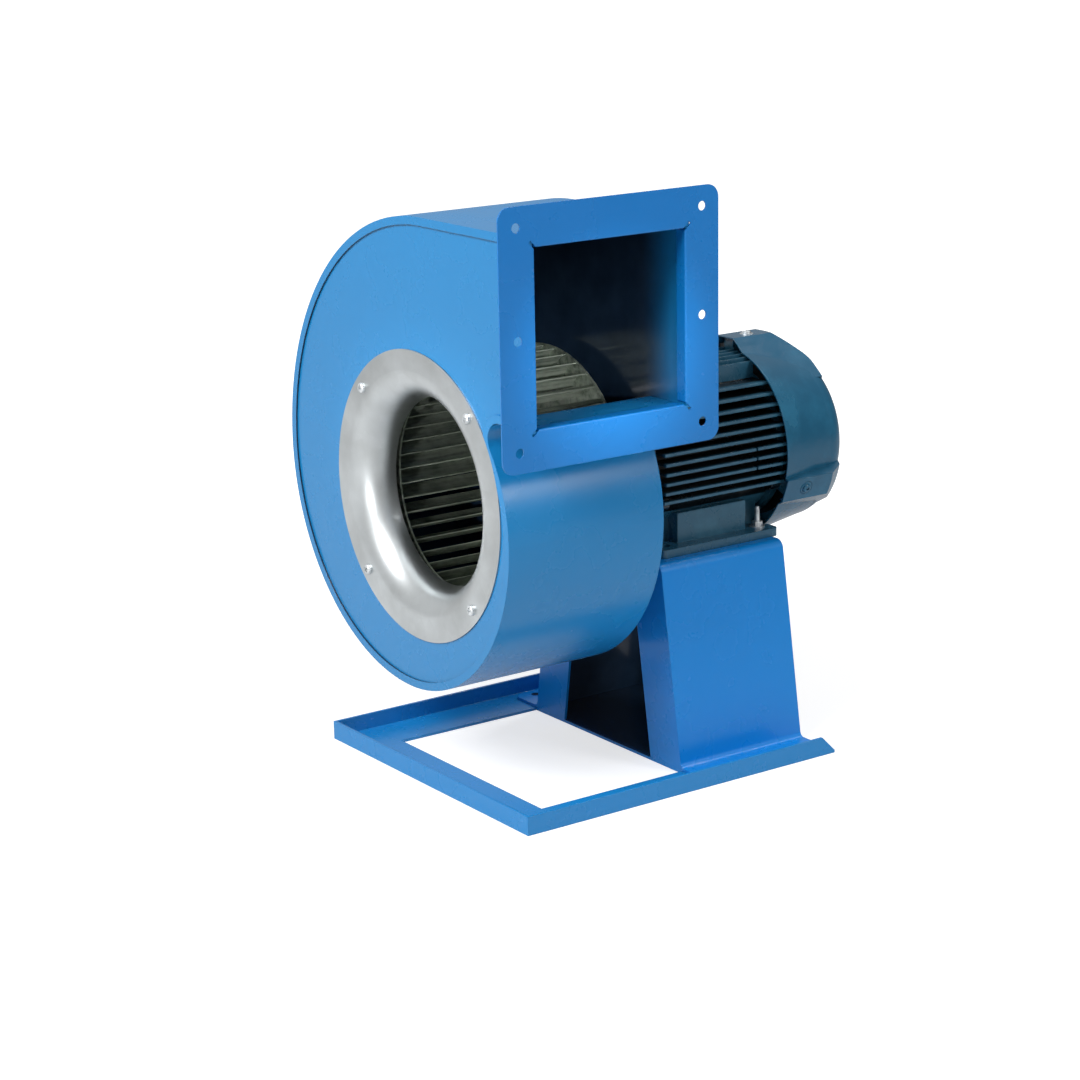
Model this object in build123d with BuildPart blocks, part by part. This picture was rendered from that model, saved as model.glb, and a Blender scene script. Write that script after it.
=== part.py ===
from build123d import *
import os
from math import asin, atan2, cos, degrees, radians, sin, sqrt, tan

# Centrifugal extractor fan: a volute casing of folded sheet with a drum impeller, driven
# directly by a foot and flange mounted motor that stands on a sheet pedestal.
#
# Millimetres, +Z up. The shaft lies along Y: the inlet faces -Y, the motor is at +Y.
# The discharge faces +X. Seen from the inlet the impeller turns clockwise.
# The origin is on the floor, in the middle of the four anchor holes under the pedestal.

# Motor sizes, those of a standard frame with a shaft height of 90
MOTOR_SHAFT_HEIGHT = 90.0        # from the underside of the feet
FOOT_SPACING_X = 140.0
FOOT_SPACING_Y = 125.0
FOOT_TO_SHOULDER = 56.0          # front foot hole to the shaft shoulder
SHAFT_EXTENSION = 50.0
SHAFT_DIAMETER = 24.0
FLANGE_DIAMETER = 200.0
FLANGE_PITCH_DIAMETER = 165.0
FLANGE_SPIGOT = 130.0
SPIGOT_HEIGHT = 3.5
FLANGE_THICKNESS = 11.0
FOOT_CENTRE_Y = 12.0             # middle of the feet, seen from the middle of the pedestal

# Pedestal, base plate and base frame
PEDESTAL_HEIGHT = 218.5          # floor to the seat of the feet
PEDESTAL_LENGTH = 164.0
PEDESTAL_TOP_WIDTH = 196.0
PEDESTAL_BOTTOM_WIDTH = 262.0
PEDESTAL_OFFSET = 5.0            # shaft to the middle of the pedestal, to the right
PEDESTAL_SHEET = 3.0
PEDESTAL_BEND = 10.0
PEDESTAL_LIP = 52.0              # width of the folded front and rear edges
PEDESTAL_FOOT_REACH = 172.0      # outer edge of the foot flanges, from the middle
PEDESTAL_FOOT_CORNER = 12.0
PEDESTAL_FOOT_BEND = 6.0         # radius between the walls and the foot flanges
PEDESTAL_TOP_LIP = 26.0          # depth of the front and rear edges under the top
BASE_WIDTH = 370.0
BASE_FRONT = 311.5               # distance from the origin to the front rail
BASE_REAR = 87.0
BASE_FRONT_LEG = 50.0
BASE_OPENING_WIDTH = 264.0       # between the left and right legs, in line with the pedestal
BASE_LEG_HEIGHT = 20.0
BASE_SHEET = 3.0
ANCHOR_SPACING_X = 318.0
ANCHOR_SPACING_Y = 120.0
ANCHOR_HOLE = 11.0

# Volute casing
CASING_WIDTH = 188.0
CASING_SHEET = 2.0
SEAM_LIP = 8.5                   # width of the lips that the wrap folds over the side plates
LIP_TRIM = 0.6                   # between the trimmed lip and the ring of the inlet cone
SCROLL_RIGHT = 165.0             # shaft axis to the outside of the wrap, on the right
SCROLL_GROWTH = 40.0             # how much that distance grows in each quarter turn
TONGUE_ARC = 162.0               # radius of the wrap from the right side up to the tongue
TONGUE_RADIUS = 18.0
DUCT_BOTTOM = 101.0              # underside of the duct above the shaft axis
DISCHARGE_REACH = 209.0          # shaft axis to the face of the discharge flange
SHAFT_OPENING = 80.0             # hole in the rear side plate
ADAPTER_LENGTH = 21.0            # ring between the casing and the motor flange

# Discharge flange
OPENING_BEND = 2.0
OPENING_HEIGHT = 172.0
COLLAR_GAP = 0.3                 # between the collar and the duct
COLLAR_DEPTH = 14.0
DISCHARGE_MARGIN = 39.8          # width of the flange above and below the opening
DISCHARGE_SIDE_MARGIN = 40.7     # and at its sides
DISCHARGE_CORNER = 13.0
DISCHARGE_SHEET = 1.5
DISCHARGE_HOLE = 9.3
DISCHARGE_HOLE_INSET = 20.0
RELIEF_WIDTH = 3.0
RELIEF_LENGTH = 16.0

# Inlet cone
CONE_RING_DIAMETER = 300.0
CONE_THROAT = 195.5
CONE_DEPTH = 38.0
CONE_SHEET = 1.5
CONE_BELL_WIDTH = 31.0
CONE_THROAT_LIP = 3.0            # straight end of the throat
CONE_RING_LAP = 20.0             # how far the ring lies on the side plate
CONE_SCREW_EDGE = 13.0           # middle of a screw to the rim of the ring
CONE_SCREW_SHANK = 5.0
CONE_SCREW_HEAD = 11.0
CONE_SCREW_HEAD_HEIGHT = 4.0
CONE_SCREW_LENGTH = 12.0

# Impeller
IMPELLER_DIAMETER = 272.0
IMPELLER_RING_WIDTH = 29.0       # rim of the impeller to the edge of its eye
IMPELLER_WIDTH = 118.0           # front ring to back disc, over all
IMPELLER_SHEET = 2.0
IMPELLER_BACK_GAP = 18.0         # back disc to the rear side plate
BLADE_COUNT = 44
BLADE_SHEET = 1.2
BLADE_LEAN = 6.0                 # degrees that the tip leads the root
BLADE_BOW = 5.0                  # height of the blade's arc over its chord
BLADE_SETBACK = 1.5              # blade edges from the edges of the ring
HUB_DIAMETER = 56.0
HUB_LENGTH = 28.0
HUB_FLANGE = 100.0
HUB_FLANGE_THICKNESS = 8.0
RIVET_COUNT = 6
RIVET_PITCH_DIAMETER = 80.0
RIVET_DIAMETER = 6.0
RIVET_HEAD = 10.0
RIVET_HEAD_HEIGHT = 2.5
END_WASHER_DIAMETER = 38.0
END_WASHER_THICKNESS = 4.0
END_BOLT_DIAMETER = 8.0
END_BOLT_LENGTH = 22.0
KEY_WIDTH = 8.0
KEY_HEIGHT = 7.0
KEY_LENGTH = 24.0
KEY_SEAT_DEPTH = 4.0
KEY_SET_IN = 2.0

# Motor housing
FRAME_LENGTH = 162.0
SHIELD_LENGTH = 36.5             # flange face to the frame
FRAME_BORE = 134.0
FRAME_WALL = 11.0
FIN_REACH = 99.0                 # shaft axis to the fin tips
FIN_THICKNESS = 3.0
FIN_PITCH = 10.2
FIN_TOP = 73.7                   # highest side fin above the shaft axis
SIDE_FINS = 11
TOP_FINS = 5                     # upright fins on each side of the middle
TOP_FIN_PITCH = 8.0
TOP_FIN_REACH = 102.0            # shaft axis to the tips of the upright fins
FIN_NOTCH_Y = 51.0               # a short gap in three fins of the right side
FIN_NOTCH_WIDTH = 2.5
FIN_NOTCH_HEIGHT = 33.0
FIN_NOTCH_DEPTH = 8.0
FOOT_WIDTH = 174.0
FOOT_THICKNESS = 9.0
FOOT_LENGTH = 157.0
FOOT_INNER = 46.0                # inner edge of each foot, from the middle
FOOT_WEB = 8.0
FOOT_WEB_LENGTH = 92.0
FOOT_WEB_HEIGHT = 32.0
FOOT_CORNER = 6.0
FOOT_HOLE = 10.0
LUG_PITCH_DIAMETER = 170.0               # circle of the end shield bolts
LUG_RADIUS = 9.0
LUG_LENGTH = 12.0
LUG_ANGLES = (-21.0, 90.0, 201.0)
SHIELD_BOLT = 6.0
SHIELD_BOLT_GRIP = 9.0
SHIELD_NECK = 71.0               # radius of the drive end shield behind its flange
SHIELD_RIM = 8.0
SHIELD_STEP = 6.0                # from the frame's wall out to the shield's rim
SHIELD_SPIGOT = 5.0
REAR_SHIELD_THICKNESS = 8.0
BOSS_WALL = 8.0
POST_WIDTH = 16.0
POST_DEPTH = 12.0
POST_GAP = 0.9                   # between the posts and the inside of the cowl

# Rotating parts of the motor and their bearings
BEARING_BORE = 25.0
BEARING_OUTER = 52.0
BEARING_WIDTH = 15.0
BEARING_RACE = 4.5               # thickness of each ring
BALL_COUNT = 8
BALL_CLEARANCE = 0.05
BALL_BITE = 1.6                  # how deep the balls lie in each ring
BEARING_SET_BACK = 11.0          # frame to the front bearing
BEARING_SET_IN = 4.0             # rear bearing inside the frame
SEAT_FIT = 0.02                  # radial gap of pieces that are pressed or slid together
THREAD_GAP = 0.05                # radial gap between a bolt and its thread or hole
JOIN_OVERLAP = 1.0               # depth to which a web runs into its hub
SHAFT_ROOM = 1.5                 # between the shaft and what it only passes through
SEAL_SET_IN = 1.0
CLIP_THICKNESS = 1.2
CLIP_DEPTH = 1.0
CLIP_SHOULDER = 2.5
ROTOR_SHAFT_DIAMETER = 32.0
ROTOR_DIAMETER = 83.0
ROTOR_LENGTH = 100.0
AIR_GAP = 0.5
WINDING_OVERHANG = 22.0
WINDING_OUTER = 124.0
WINDING_INNER = 92.0
FAN_SHAFT_DIAMETER = 20.0
RUNNING_CLEARANCE = 0.05
SEAL_OUTER = 40.0
SEAL_WIDTH = 7.0
COOLING_FAN_DIAMETER = 172.0
COOLING_FAN_WIDTH = 30.0
COOLING_FAN_BLADES = 7
COOLING_FAN_SHEET = 2.5
COOLING_FAN_HUB = 42.0
COOLING_FAN_GAP = 16.0           # rear shield to the cooling fan

# Fan cowl
COWL_DIAMETER = 210.0
COWL_REAR_DIAMETER = 189.0       # where the drum meets its rounded end
COWL_SHEET = 1.5
COWL_FRONT = 87.5                # front rim of the cowl, from the origin
COWL_LENGTH = 96.0
COWL_CORNER = 26.0
COWL_PAD_WIDTH = 27.0
COWL_PAD_REACHES = (108.3, 114.5, 108.3)     # shaft axis to the flat of each pad
COWL_PAD_FLANKS = ((-1,), (-1, 1), (1,))     # the sides on which each pad slopes away
COWL_FLANK_SLOPE = 42.0          # degrees
COWL_PAD_REAR = ((48.0, 118.0), (82.0, 97.0), (90.0, 80.0))  # from the rim, and radius
COWL_DIMPLE = 16.0               # recess round each screw
COWL_DIMPLE_DEPTH = 0.8
COWL_SCREW_PLACE = 29.0          # front rim to the screws
COWL_SCREW_HEAD = 10.5
COWL_SCREW_HEAD_HEIGHT = 4.0
COWL_SCREW_SHANK = 5.0
COWL_SCREW_LENGTH = 14.0
GRILLE_RINGS = (18.0, 29.0, 40.0, 51.0, 62.0)
GRILLE_SLOT = 5.0
GRILLE_SPOKES = 6
GRILLE_SPOKE_WIDTH = 7.0

# Terminal box
BOX_WIDTH = 92.0
BOX_LENGTH = 84.0
BOX_BODY_HEIGHT = 42.0
BOX_LID_HEIGHT = 12.0
BOX_WALL = 3.5
BOX_SEAT = 82.0                  # underside of the box above the shaft axis
BOX_FRONT = -58.0
BOX_CORNER = 8.0
BOX_ROOM = 3.0                   # between the box and the fins beside it
LID_EDGE = 2.5
LID_SCREW = 4.0
LID_SCREW_LENGTH = 14.0
LID_SCREW_GRIP = 10.0
LID_SCREW_HEAD_HEIGHT = 2.5
BOARD_WIDTH = 56.0
BOARD_LENGTH = 34.0
BOARD_HEIGHT = 9.0
TERMINAL_SPACING_X = 19.0
TERMINAL_SPACING_Y = 17.0
TERMINAL_STUD = 4.0
TERMINAL_STUD_HEIGHT = 16.0
CABLE_HOLE = 12.0
GLAND_DIAMETER = 20.0
GLAND_HEX = 24.0
GLAND_HEX_LENGTH = 7.5
GLAND_CAP = 23.0
GLAND_TAPER = 12.0               # degrees
GLAND_LENGTH = 22.0

# Fasteners
FOOT_BOLT = 6.0
FOOT_BOLT_REACH = 31.5           # top of the bolt above the seat of the feet
FLANGE_BOLT = 10.0
NUT_FACTOR = 0.8                 # height of a nut over its thread diameter
HEAD_FACTOR = 0.65
HEX_FACTOR = 1.65                # across flats over thread diameter
HOLE_CLEARANCE = 1.0
BOLT_PROUD = 3.0                 # bolt end beyond its nut
PAN_ROUNDING = 0.6               # rounding of a pan head over its height
WASHER_FACTOR = 2.75
WASHER_THICKNESS = 1.6
SEAT_GAP = 0.3

# Places worked out from the sizes
SHAFT_HEIGHT = PEDESTAL_HEIGHT + MOTOR_SHAFT_HEIGHT
IMPELLER_EYE = IMPELLER_DIAMETER - 2 * IMPELLER_RING_WIDTH
FRONT_FOOT_Y = FOOT_CENTRE_Y - FOOT_SPACING_Y / 2
SHOULDER_Y = FRONT_FOOT_Y - FOOT_TO_SHOULDER
SHAFT_END_Y = SHOULDER_Y - SHAFT_EXTENSION
REAR_PLATE_BACK = SHOULDER_Y - ADAPTER_LENGTH
REAR_PLATE_FRONT = REAR_PLATE_BACK - CASING_SHEET
CASING_BACK = REAR_PLATE_BACK + CASING_SHEET
CASING_FRONT = CASING_BACK - CASING_WIDTH
FRONT_PLATE_FRONT = CASING_FRONT + CASING_SHEET
FRONT_PLATE_BACK = FRONT_PLATE_FRONT + CASING_SHEET
DUCT_END = DISCHARGE_REACH - DISCHARGE_SHEET
SCROLL_TOP = SCROLL_RIGHT + 3 * SCROLL_GROWTH
OPENING_FRONT = FRONT_PLATE_BACK + COLLAR_GAP + DISCHARGE_SHEET
OPENING_BACK = REAR_PLATE_FRONT - COLLAR_GAP - DISCHARGE_SHEET
OPENING_BOTTOM = DUCT_BOTTOM + CASING_SHEET + COLLAR_GAP + DISCHARGE_SHEET
OPENING_WIDTH = OPENING_BACK - OPENING_FRONT
CONE_FRONT = FRONT_PLATE_FRONT - CONE_SHEET
CONE_SCREW_REACH = CONE_RING_DIAMETER / 2 - CONE_SCREW_EDGE
DISC_BACK = REAR_PLATE_FRONT - IMPELLER_BACK_GAP
DISC_FRONT = DISC_BACK - IMPELLER_SHEET
RING_FRONT = DISC_BACK - IMPELLER_WIDTH
RING_BACK = RING_FRONT + IMPELLER_SHEET
HUB_FRONT = SHAFT_END_Y - SEAT_GAP
HUB_BACK = HUB_FRONT + HUB_LENGTH
FRAME_FRONT = SHOULDER_Y + SHIELD_LENGTH
FRAME_BACK = FRAME_FRONT + FRAME_LENGTH
FRAME_RADIUS = FRAME_BORE / 2 + FRAME_WALL
SHIELD_RADIUS = FRAME_RADIUS + SHIELD_STEP
STACK_MIDDLE = (FRAME_FRONT + FRAME_BACK) / 2
STACK_FRONT = STACK_MIDDLE - ROTOR_LENGTH / 2
STACK_BACK = STACK_MIDDLE + ROTOR_LENGTH / 2
FRONT_BEARING_Y = FRAME_FRONT - BEARING_SET_BACK - BEARING_WIDTH
REAR_BEARING_Y = FRAME_BACK - BEARING_SET_IN
COOLING_FAN_Y = FRAME_BACK + REAR_SHIELD_THICKNESS + COOLING_FAN_GAP
COWL_BACK = COWL_FRONT + COWL_LENGTH
COWL_SCREW_Y = COWL_FRONT + COWL_SCREW_PLACE
FOOT_TOP = PEDESTAL_HEIGHT + FOOT_THICKNESS
FOOT_PLACES = [
    (x, FOOT_CENTRE_Y + y)
    for x in (-FOOT_SPACING_X / 2, FOOT_SPACING_X / 2)
    for y in (-FOOT_SPACING_Y / 2, FOOT_SPACING_Y / 2)
]
FOOT_BOLT_PLACES = [place for place in FOOT_PLACES if place[1] > FOOT_CENTRE_Y]

SHAFT_AXIS = Axis((0, 0, SHAFT_HEIGHT), (0, 1, 0))
# Half sections of round parts are drawn here: first the place along Y, then the radius
HALF_SECTION = Plane(origin=(0, 0, SHAFT_HEIGHT), x_dir=(0, 1, 0), z_dir=(1, 0, 0))


def seen_from_inlet(y):
    """The upright plane at y, centred on the shaft, with X to the right and Z up."""
    return Plane(origin=(0, y, SHAFT_HEIGHT), x_dir=(1, 0, 0), z_dir=(0, -1, 0))


def finish(builder, name):
    """Labels a sub-part and writes it to its own file."""
    builder.part.label = name
    export_step(builder.part, "parts/" + name + ".step")


def turned(points):
    """A solid of revolution about the shaft, from the outline of its half section."""
    with BuildPart() as piece:
        with BuildSketch(HALF_SECTION):
            with BuildLine():
                Polyline(*points, close=True)
            make_face()
        revolve(axis=SHAFT_AXIS)
    return piece.part


def ring(start, end, inner, outer):
    """A plain ring about the shaft, from start to end along Y."""
    return turned([(start, inner), (end, inner), (end, outer), (start, outer)])


def hex_bolt(diameter, length):
    """A hexagon bolt with its head on -Z and the seat of the head at zero."""
    with BuildPart() as bolt:
        with BuildSketch():
            RegularPolygon(HEX_FACTOR * diameter / 2, 6, major_radius=False)
        extrude(amount=-HEAD_FACTOR * diameter)
        with BuildSketch():
            Circle(diameter / 2)
        extrude(amount=length)
    return bolt.part


def hex_nut(diameter):
    """A nut that stands on the XY plane."""
    with BuildPart() as nut:
        with BuildSketch():
            RegularPolygon(HEX_FACTOR * diameter / 2, 6, major_radius=False)
            Circle(diameter / 2 + THREAD_GAP, mode=Mode.SUBTRACT)
        extrude(amount=NUT_FACTOR * diameter)
    return nut.part


def pan_screw(head_diameter, head_height, diameter, length):
    """A pan head screw with its head on +Z and the seat of the head at zero."""
    with BuildPart() as screw:
        with BuildSketch():
            Circle(head_diameter / 2)
        extrude(amount=head_height)
        fillet(screw.edges().sort_by(Axis.Z)[-1], PAN_ROUNDING * head_height)
        with BuildSketch():
            Circle(diameter / 2)
        extrude(amount=-length)
    return screw.part


def casing_outline(inset):
    """The outline of the casing seen from the inlet, moved inwards by inset.

    Four arcs about the corners of a square make the spiral, and a fifth leads up to the
    tongue. The discharge end isn't inset, because the casing is open there.
    """
    half = SCROLL_GROWTH / 2
    first = SCROLL_RIGHT + half
    arc_x = SCROLL_RIGHT - TONGUE_ARC
    nose_z = DUCT_BOTTOM - TONGUE_RADIUS
    nose_x = arc_x + sqrt((TONGUE_ARC + TONGUE_RADIUS) ** 2 - (nose_z + half) ** 2)
    nose_angle = degrees(atan2(nose_z + half, nose_x - arc_x))
    top = SCROLL_TOP - inset
    bottom = DUCT_BOTTOM + inset
    with BuildLine() as outline:
        CenterArc((arc_x, -half), TONGUE_ARC - inset, 0, nose_angle)
        CenterArc((-half, -half), first - inset, 270, 90)
        CenterArc((-half, half), first + SCROLL_GROWTH - inset, 180, 90)
        CenterArc((half, half), first + 2 * SCROLL_GROWTH - inset, 90, 90)
        Line((half, top), (DUCT_END, top))
        Line((DUCT_END, top), (DUCT_END, bottom))
        Line((DUCT_END, bottom), (nose_x, bottom))
        CenterArc((nose_x, nose_z), TONGUE_RADIUS + inset, 90, 90 + nose_angle)
    return outline.line


os.makedirs("parts", exist_ok=True)

# Volute casing

with BuildPart() as scroll_wrap:
    with BuildSketch(seen_from_inlet(CASING_FRONT)):
        make_face(casing_outline(0).edges())
        make_face(casing_outline(CASING_SHEET).edges(), mode=Mode.SUBTRACT)
    extrude(amount=-CASING_WIDTH)
    for lip_front in (CASING_FRONT, CASING_BACK - CASING_SHEET):
        with BuildSketch(seen_from_inlet(lip_front)):
            make_face(casing_outline(0).edges())
            make_face(casing_outline(SEAM_LIP).edges(), mode=Mode.SUBTRACT)
        extrude(amount=-CASING_SHEET)
    # The front lip is trimmed where the ring of the inlet cone comes close to the tongue
    with BuildSketch(seen_from_inlet(CASING_FRONT)):
        Circle(CONE_RING_DIAMETER / 2 + LIP_TRIM)
    extrude(amount=-CASING_SHEET, mode=Mode.SUBTRACT)
finish(scroll_wrap, "scroll_wrap")

with BuildPart() as front_side_plate:
    with BuildSketch(seen_from_inlet(FRONT_PLATE_FRONT)):
        make_face(casing_outline(CASING_SHEET).edges())
        Circle(CONE_RING_DIAMETER / 2 - CONE_RING_LAP, mode=Mode.SUBTRACT)
        with PolarLocations(CONE_SCREW_REACH, 4, start_angle=45):
            Circle(CONE_SCREW_SHANK / 2 + THREAD_GAP, mode=Mode.SUBTRACT)
    extrude(amount=-CASING_SHEET)
finish(front_side_plate, "front_side_plate")

with BuildPart() as rear_side_plate:
    with BuildSketch(seen_from_inlet(REAR_PLATE_FRONT)):
        make_face(casing_outline(CASING_SHEET).edges())
        Circle(SHAFT_OPENING / 2, mode=Mode.SUBTRACT)
        with PolarLocations(FLANGE_PITCH_DIAMETER / 2, 4, start_angle=45):
            Circle((FLANGE_BOLT + HOLE_CLEARANCE) / 2, mode=Mode.SUBTRACT)
    extrude(amount=-CASING_SHEET)
finish(rear_side_plate, "rear_side_plate")

# The discharge flange is drawn on its front face, with Y to the right and Z up
flange_plane = Plane(
    origin=(DISCHARGE_REACH, (OPENING_FRONT + OPENING_BACK) / 2,
            SHAFT_HEIGHT + OPENING_BOTTOM + OPENING_HEIGHT / 2),
    x_dir=(0, 1, 0), z_dir=(1, 0, 0))
flange_width = OPENING_WIDTH + 2 * DISCHARGE_SIDE_MARGIN
flange_height = OPENING_HEIGHT + 2 * DISCHARGE_MARGIN
hole_spacing_y = flange_width - 2 * DISCHARGE_HOLE_INSET
hole_spacing_z = flange_height - 2 * DISCHARGE_HOLE_INSET

with BuildPart() as discharge_flange:
    with BuildSketch(flange_plane):
        RectangleRounded(flange_width, flange_height, DISCHARGE_CORNER)
        with GridLocations(hole_spacing_y, hole_spacing_z / 2, 2, 3):
            Circle(DISCHARGE_HOLE / 2, mode=Mode.SUBTRACT)
    extrude(amount=-DISCHARGE_SHEET)
    with BuildSketch(flange_plane):
        Rectangle(OPENING_WIDTH + 2 * DISCHARGE_SHEET, OPENING_HEIGHT + 2 * DISCHARGE_SHEET)
    extrude(amount=-COLLAR_DEPTH)
    with BuildSketch(flange_plane):
        Rectangle(OPENING_WIDTH, OPENING_HEIGHT)
    extrude(amount=-COLLAR_DEPTH, mode=Mode.SUBTRACT)
    front_edges = discharge_flange.faces().sort_by(Axis.X)[-1].inner_wires()
    opening_wire = front_edges.sort_by(SortBy.LENGTH)[-1]
    fillet(opening_wire.edges(), OPENING_BEND)
    with BuildSketch(flange_plane):
        for side_y in (-1, 1):
            for side_z in (-1, 1):
                corner = (side_y * OPENING_WIDTH / 2, side_z * OPENING_HEIGHT / 2)
                with Locations(corner):
                    Rectangle(RELIEF_LENGTH, RELIEF_WIDTH, rotation=45 * side_y * side_z)
    extrude(amount=-COLLAR_DEPTH, mode=Mode.SUBTRACT)
finish(discharge_flange, "discharge_flange")

# Inlet cone

throat = CONE_THROAT / 2
bell_radius = throat + CONE_BELL_WIDTH
bell_depth = CONE_DEPTH - CONE_THROAT_LIP
bell_centre = (CONE_FRONT + bell_depth, bell_radius)
cone_end = CONE_FRONT + CONE_DEPTH

with BuildPart() as inlet_cone:
    with BuildSketch(HALF_SECTION):
        with BuildLine():
            EllipticalCenterArc(bell_centre, bell_depth, CONE_BELL_WIDTH, 180, arc_size=90)
            EllipticalCenterArc(bell_centre, bell_depth - CONE_SHEET,
                                CONE_BELL_WIDTH - CONE_SHEET, 180, arc_size=90)
            Polyline(
                (CONE_FRONT, bell_radius),
                (CONE_FRONT, CONE_RING_DIAMETER / 2),
                (CONE_FRONT + CONE_SHEET, CONE_RING_DIAMETER / 2),
                (CONE_FRONT + CONE_SHEET, bell_radius))
            Polyline(
                (CONE_FRONT + bell_depth, throat),
                (cone_end, throat),
                (cone_end, throat + CONE_SHEET),
                (CONE_FRONT + bell_depth, throat + CONE_SHEET))
        make_face()
    revolve(axis=SHAFT_AXIS)
    with BuildSketch(seen_from_inlet(CONE_FRONT)):
        with PolarLocations(CONE_SCREW_REACH, 4, start_angle=45):
            Circle(CONE_SCREW_SHANK / 2 + THREAD_GAP)
    extrude(amount=-CONE_SHEET, mode=Mode.SUBTRACT)
finish(inlet_cone, "inlet_cone")

cone_screw = pan_screw(CONE_SCREW_HEAD, CONE_SCREW_HEAD_HEIGHT, CONE_SCREW_SHANK, CONE_SCREW_LENGTH)
with BuildPart() as inlet_cone_screws:
    with Locations(seen_from_inlet(CONE_FRONT)):
        with PolarLocations(CONE_SCREW_REACH, 4, start_angle=45):
            add(cone_screw)
finish(inlet_cone_screws, "inlet_cone_screws")

# Impeller

blade_root = IMPELLER_EYE / 2 + BLADE_SETBACK
blade_tip = IMPELLER_DIAMETER / 2 - BLADE_SETBACK
lean = radians(BLADE_LEAN)
root_point = Vector(blade_root, 0)
tip_point = Vector(blade_tip * cos(lean), -blade_tip * sin(lean))
chord = tip_point - root_point
blade_radius = (chord.length ** 2 / 4 + BLADE_BOW ** 2) / (2 * BLADE_BOW)
blade_half_angle = degrees(asin(chord.length / 2 / blade_radius))
bow_way = Vector(-chord.Y, chord.X).normalized()
blade_centre = root_point + chord * 0.5 - bow_way * (blade_radius - BLADE_BOW)
blade_start = degrees(atan2(bow_way.Y, bow_way.X)) - blade_half_angle

with BuildSketch() as blade_section:
    with BuildLine():
        outside = CenterArc(blade_centre, blade_radius, blade_start, 2 * blade_half_angle)
        inside = CenterArc(
            blade_centre, blade_radius - BLADE_SHEET, blade_start, 2 * blade_half_angle)
        Line(outside @ 0, inside @ 0)
        Line(outside @ 1, inside @ 1)
    make_face()

with BuildPart() as impeller_blades:
    with BuildSketch(seen_from_inlet(RING_BACK)):
        with PolarLocations(0, BLADE_COUNT):
            add(blade_section.sketch)
    extrude(amount=-(DISC_FRONT - RING_BACK))
finish(impeller_blades, "impeller_blades")

with BuildPart() as impeller_front_ring:
    with BuildSketch(seen_from_inlet(RING_FRONT)):
        Circle(IMPELLER_DIAMETER / 2)
        Circle(IMPELLER_EYE / 2, mode=Mode.SUBTRACT)
    extrude(amount=-IMPELLER_SHEET)
finish(impeller_front_ring, "impeller_front_ring")

with BuildPart() as impeller_back_disc:
    with BuildSketch(seen_from_inlet(DISC_FRONT)):
        Circle(IMPELLER_DIAMETER / 2)
        Circle(HUB_DIAMETER / 2 + SEAT_FIT, mode=Mode.SUBTRACT)
        with PolarLocations(RIVET_PITCH_DIAMETER / 2, RIVET_COUNT):
            Circle(RIVET_DIAMETER / 2 + SEAT_FIT, mode=Mode.SUBTRACT)
    extrude(amount=-IMPELLER_SHEET)
finish(impeller_back_disc, "impeller_back_disc")

key_seat = SHAFT_DIAMETER / 2 - KEY_SEAT_DEPTH
key_front = HUB_FRONT + KEY_SET_IN

with BuildPart() as impeller_hub:
    add(ring(HUB_FRONT, HUB_BACK, SHAFT_DIAMETER / 2 + SEAT_FIT, HUB_DIAMETER / 2))
    add(ring(DISC_BACK, DISC_BACK + HUB_FLANGE_THICKNESS, HUB_DIAMETER / 2 - JOIN_OVERLAP, HUB_FLANGE / 2))
    with BuildSketch(seen_from_inlet(DISC_BACK)):
        with PolarLocations(RIVET_PITCH_DIAMETER / 2, RIVET_COUNT):
            Circle(RIVET_DIAMETER / 2 + SEAT_FIT)
    extrude(amount=-HUB_FLANGE_THICKNESS, mode=Mode.SUBTRACT)
    with BuildSketch(seen_from_inlet(HUB_FRONT)):
        with Locations((0, key_seat + KEY_HEIGHT / 2)):
            Rectangle(KEY_WIDTH + 2 * SEAT_FIT, KEY_HEIGHT + 2 * SEAT_FIT)
    extrude(amount=-HUB_LENGTH, mode=Mode.SUBTRACT)
finish(impeller_hub, "impeller_hub")

with BuildPart() as hub_rivets:
    with Locations(seen_from_inlet(DISC_FRONT)):
        with PolarLocations(RIVET_PITCH_DIAMETER / 2, RIVET_COUNT):
            Cylinder(RIVET_DIAMETER / 2, IMPELLER_SHEET + HUB_FLANGE_THICKNESS,
                     align=(Align.CENTER, Align.CENTER, Align.MAX))
            Cylinder(RIVET_HEAD / 2, RIVET_HEAD_HEIGHT,
                     align=(Align.CENTER, Align.CENTER, Align.MIN))
    with Locations(seen_from_inlet(DISC_BACK + HUB_FLANGE_THICKNESS)):
        with PolarLocations(RIVET_PITCH_DIAMETER / 2, RIVET_COUNT):
            Cylinder(RIVET_HEAD / 2, RIVET_HEAD_HEIGHT,
                     align=(Align.CENTER, Align.CENTER, Align.MAX))
finish(hub_rivets, "hub_rivets")

with BuildPart() as shaft_key:
    with BuildSketch(seen_from_inlet(key_front)):
        with Locations((0, key_seat + KEY_HEIGHT / 2)):
            Rectangle(KEY_WIDTH, KEY_HEIGHT)
    extrude(amount=-KEY_LENGTH)
finish(shaft_key, "shaft_key")

with BuildPart() as shaft_end_washer:
    add(ring(HUB_FRONT - END_WASHER_THICKNESS, HUB_FRONT,
             END_BOLT_DIAMETER / 2 + THREAD_GAP, END_WASHER_DIAMETER / 2))
finish(shaft_end_washer, "shaft_end_washer")

end_bolt = hex_bolt(END_BOLT_DIAMETER, END_BOLT_LENGTH)
with BuildPart() as shaft_end_bolt:
    with Locations(Plane(origin=(0, HUB_FRONT - END_WASHER_THICKNESS, SHAFT_HEIGHT),
                         x_dir=(1, 0, 0), z_dir=(0, 1, 0))):
        add(end_bolt)
finish(shaft_end_bolt, "shaft_end_bolt")

# Motor shaft and rotor

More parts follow.
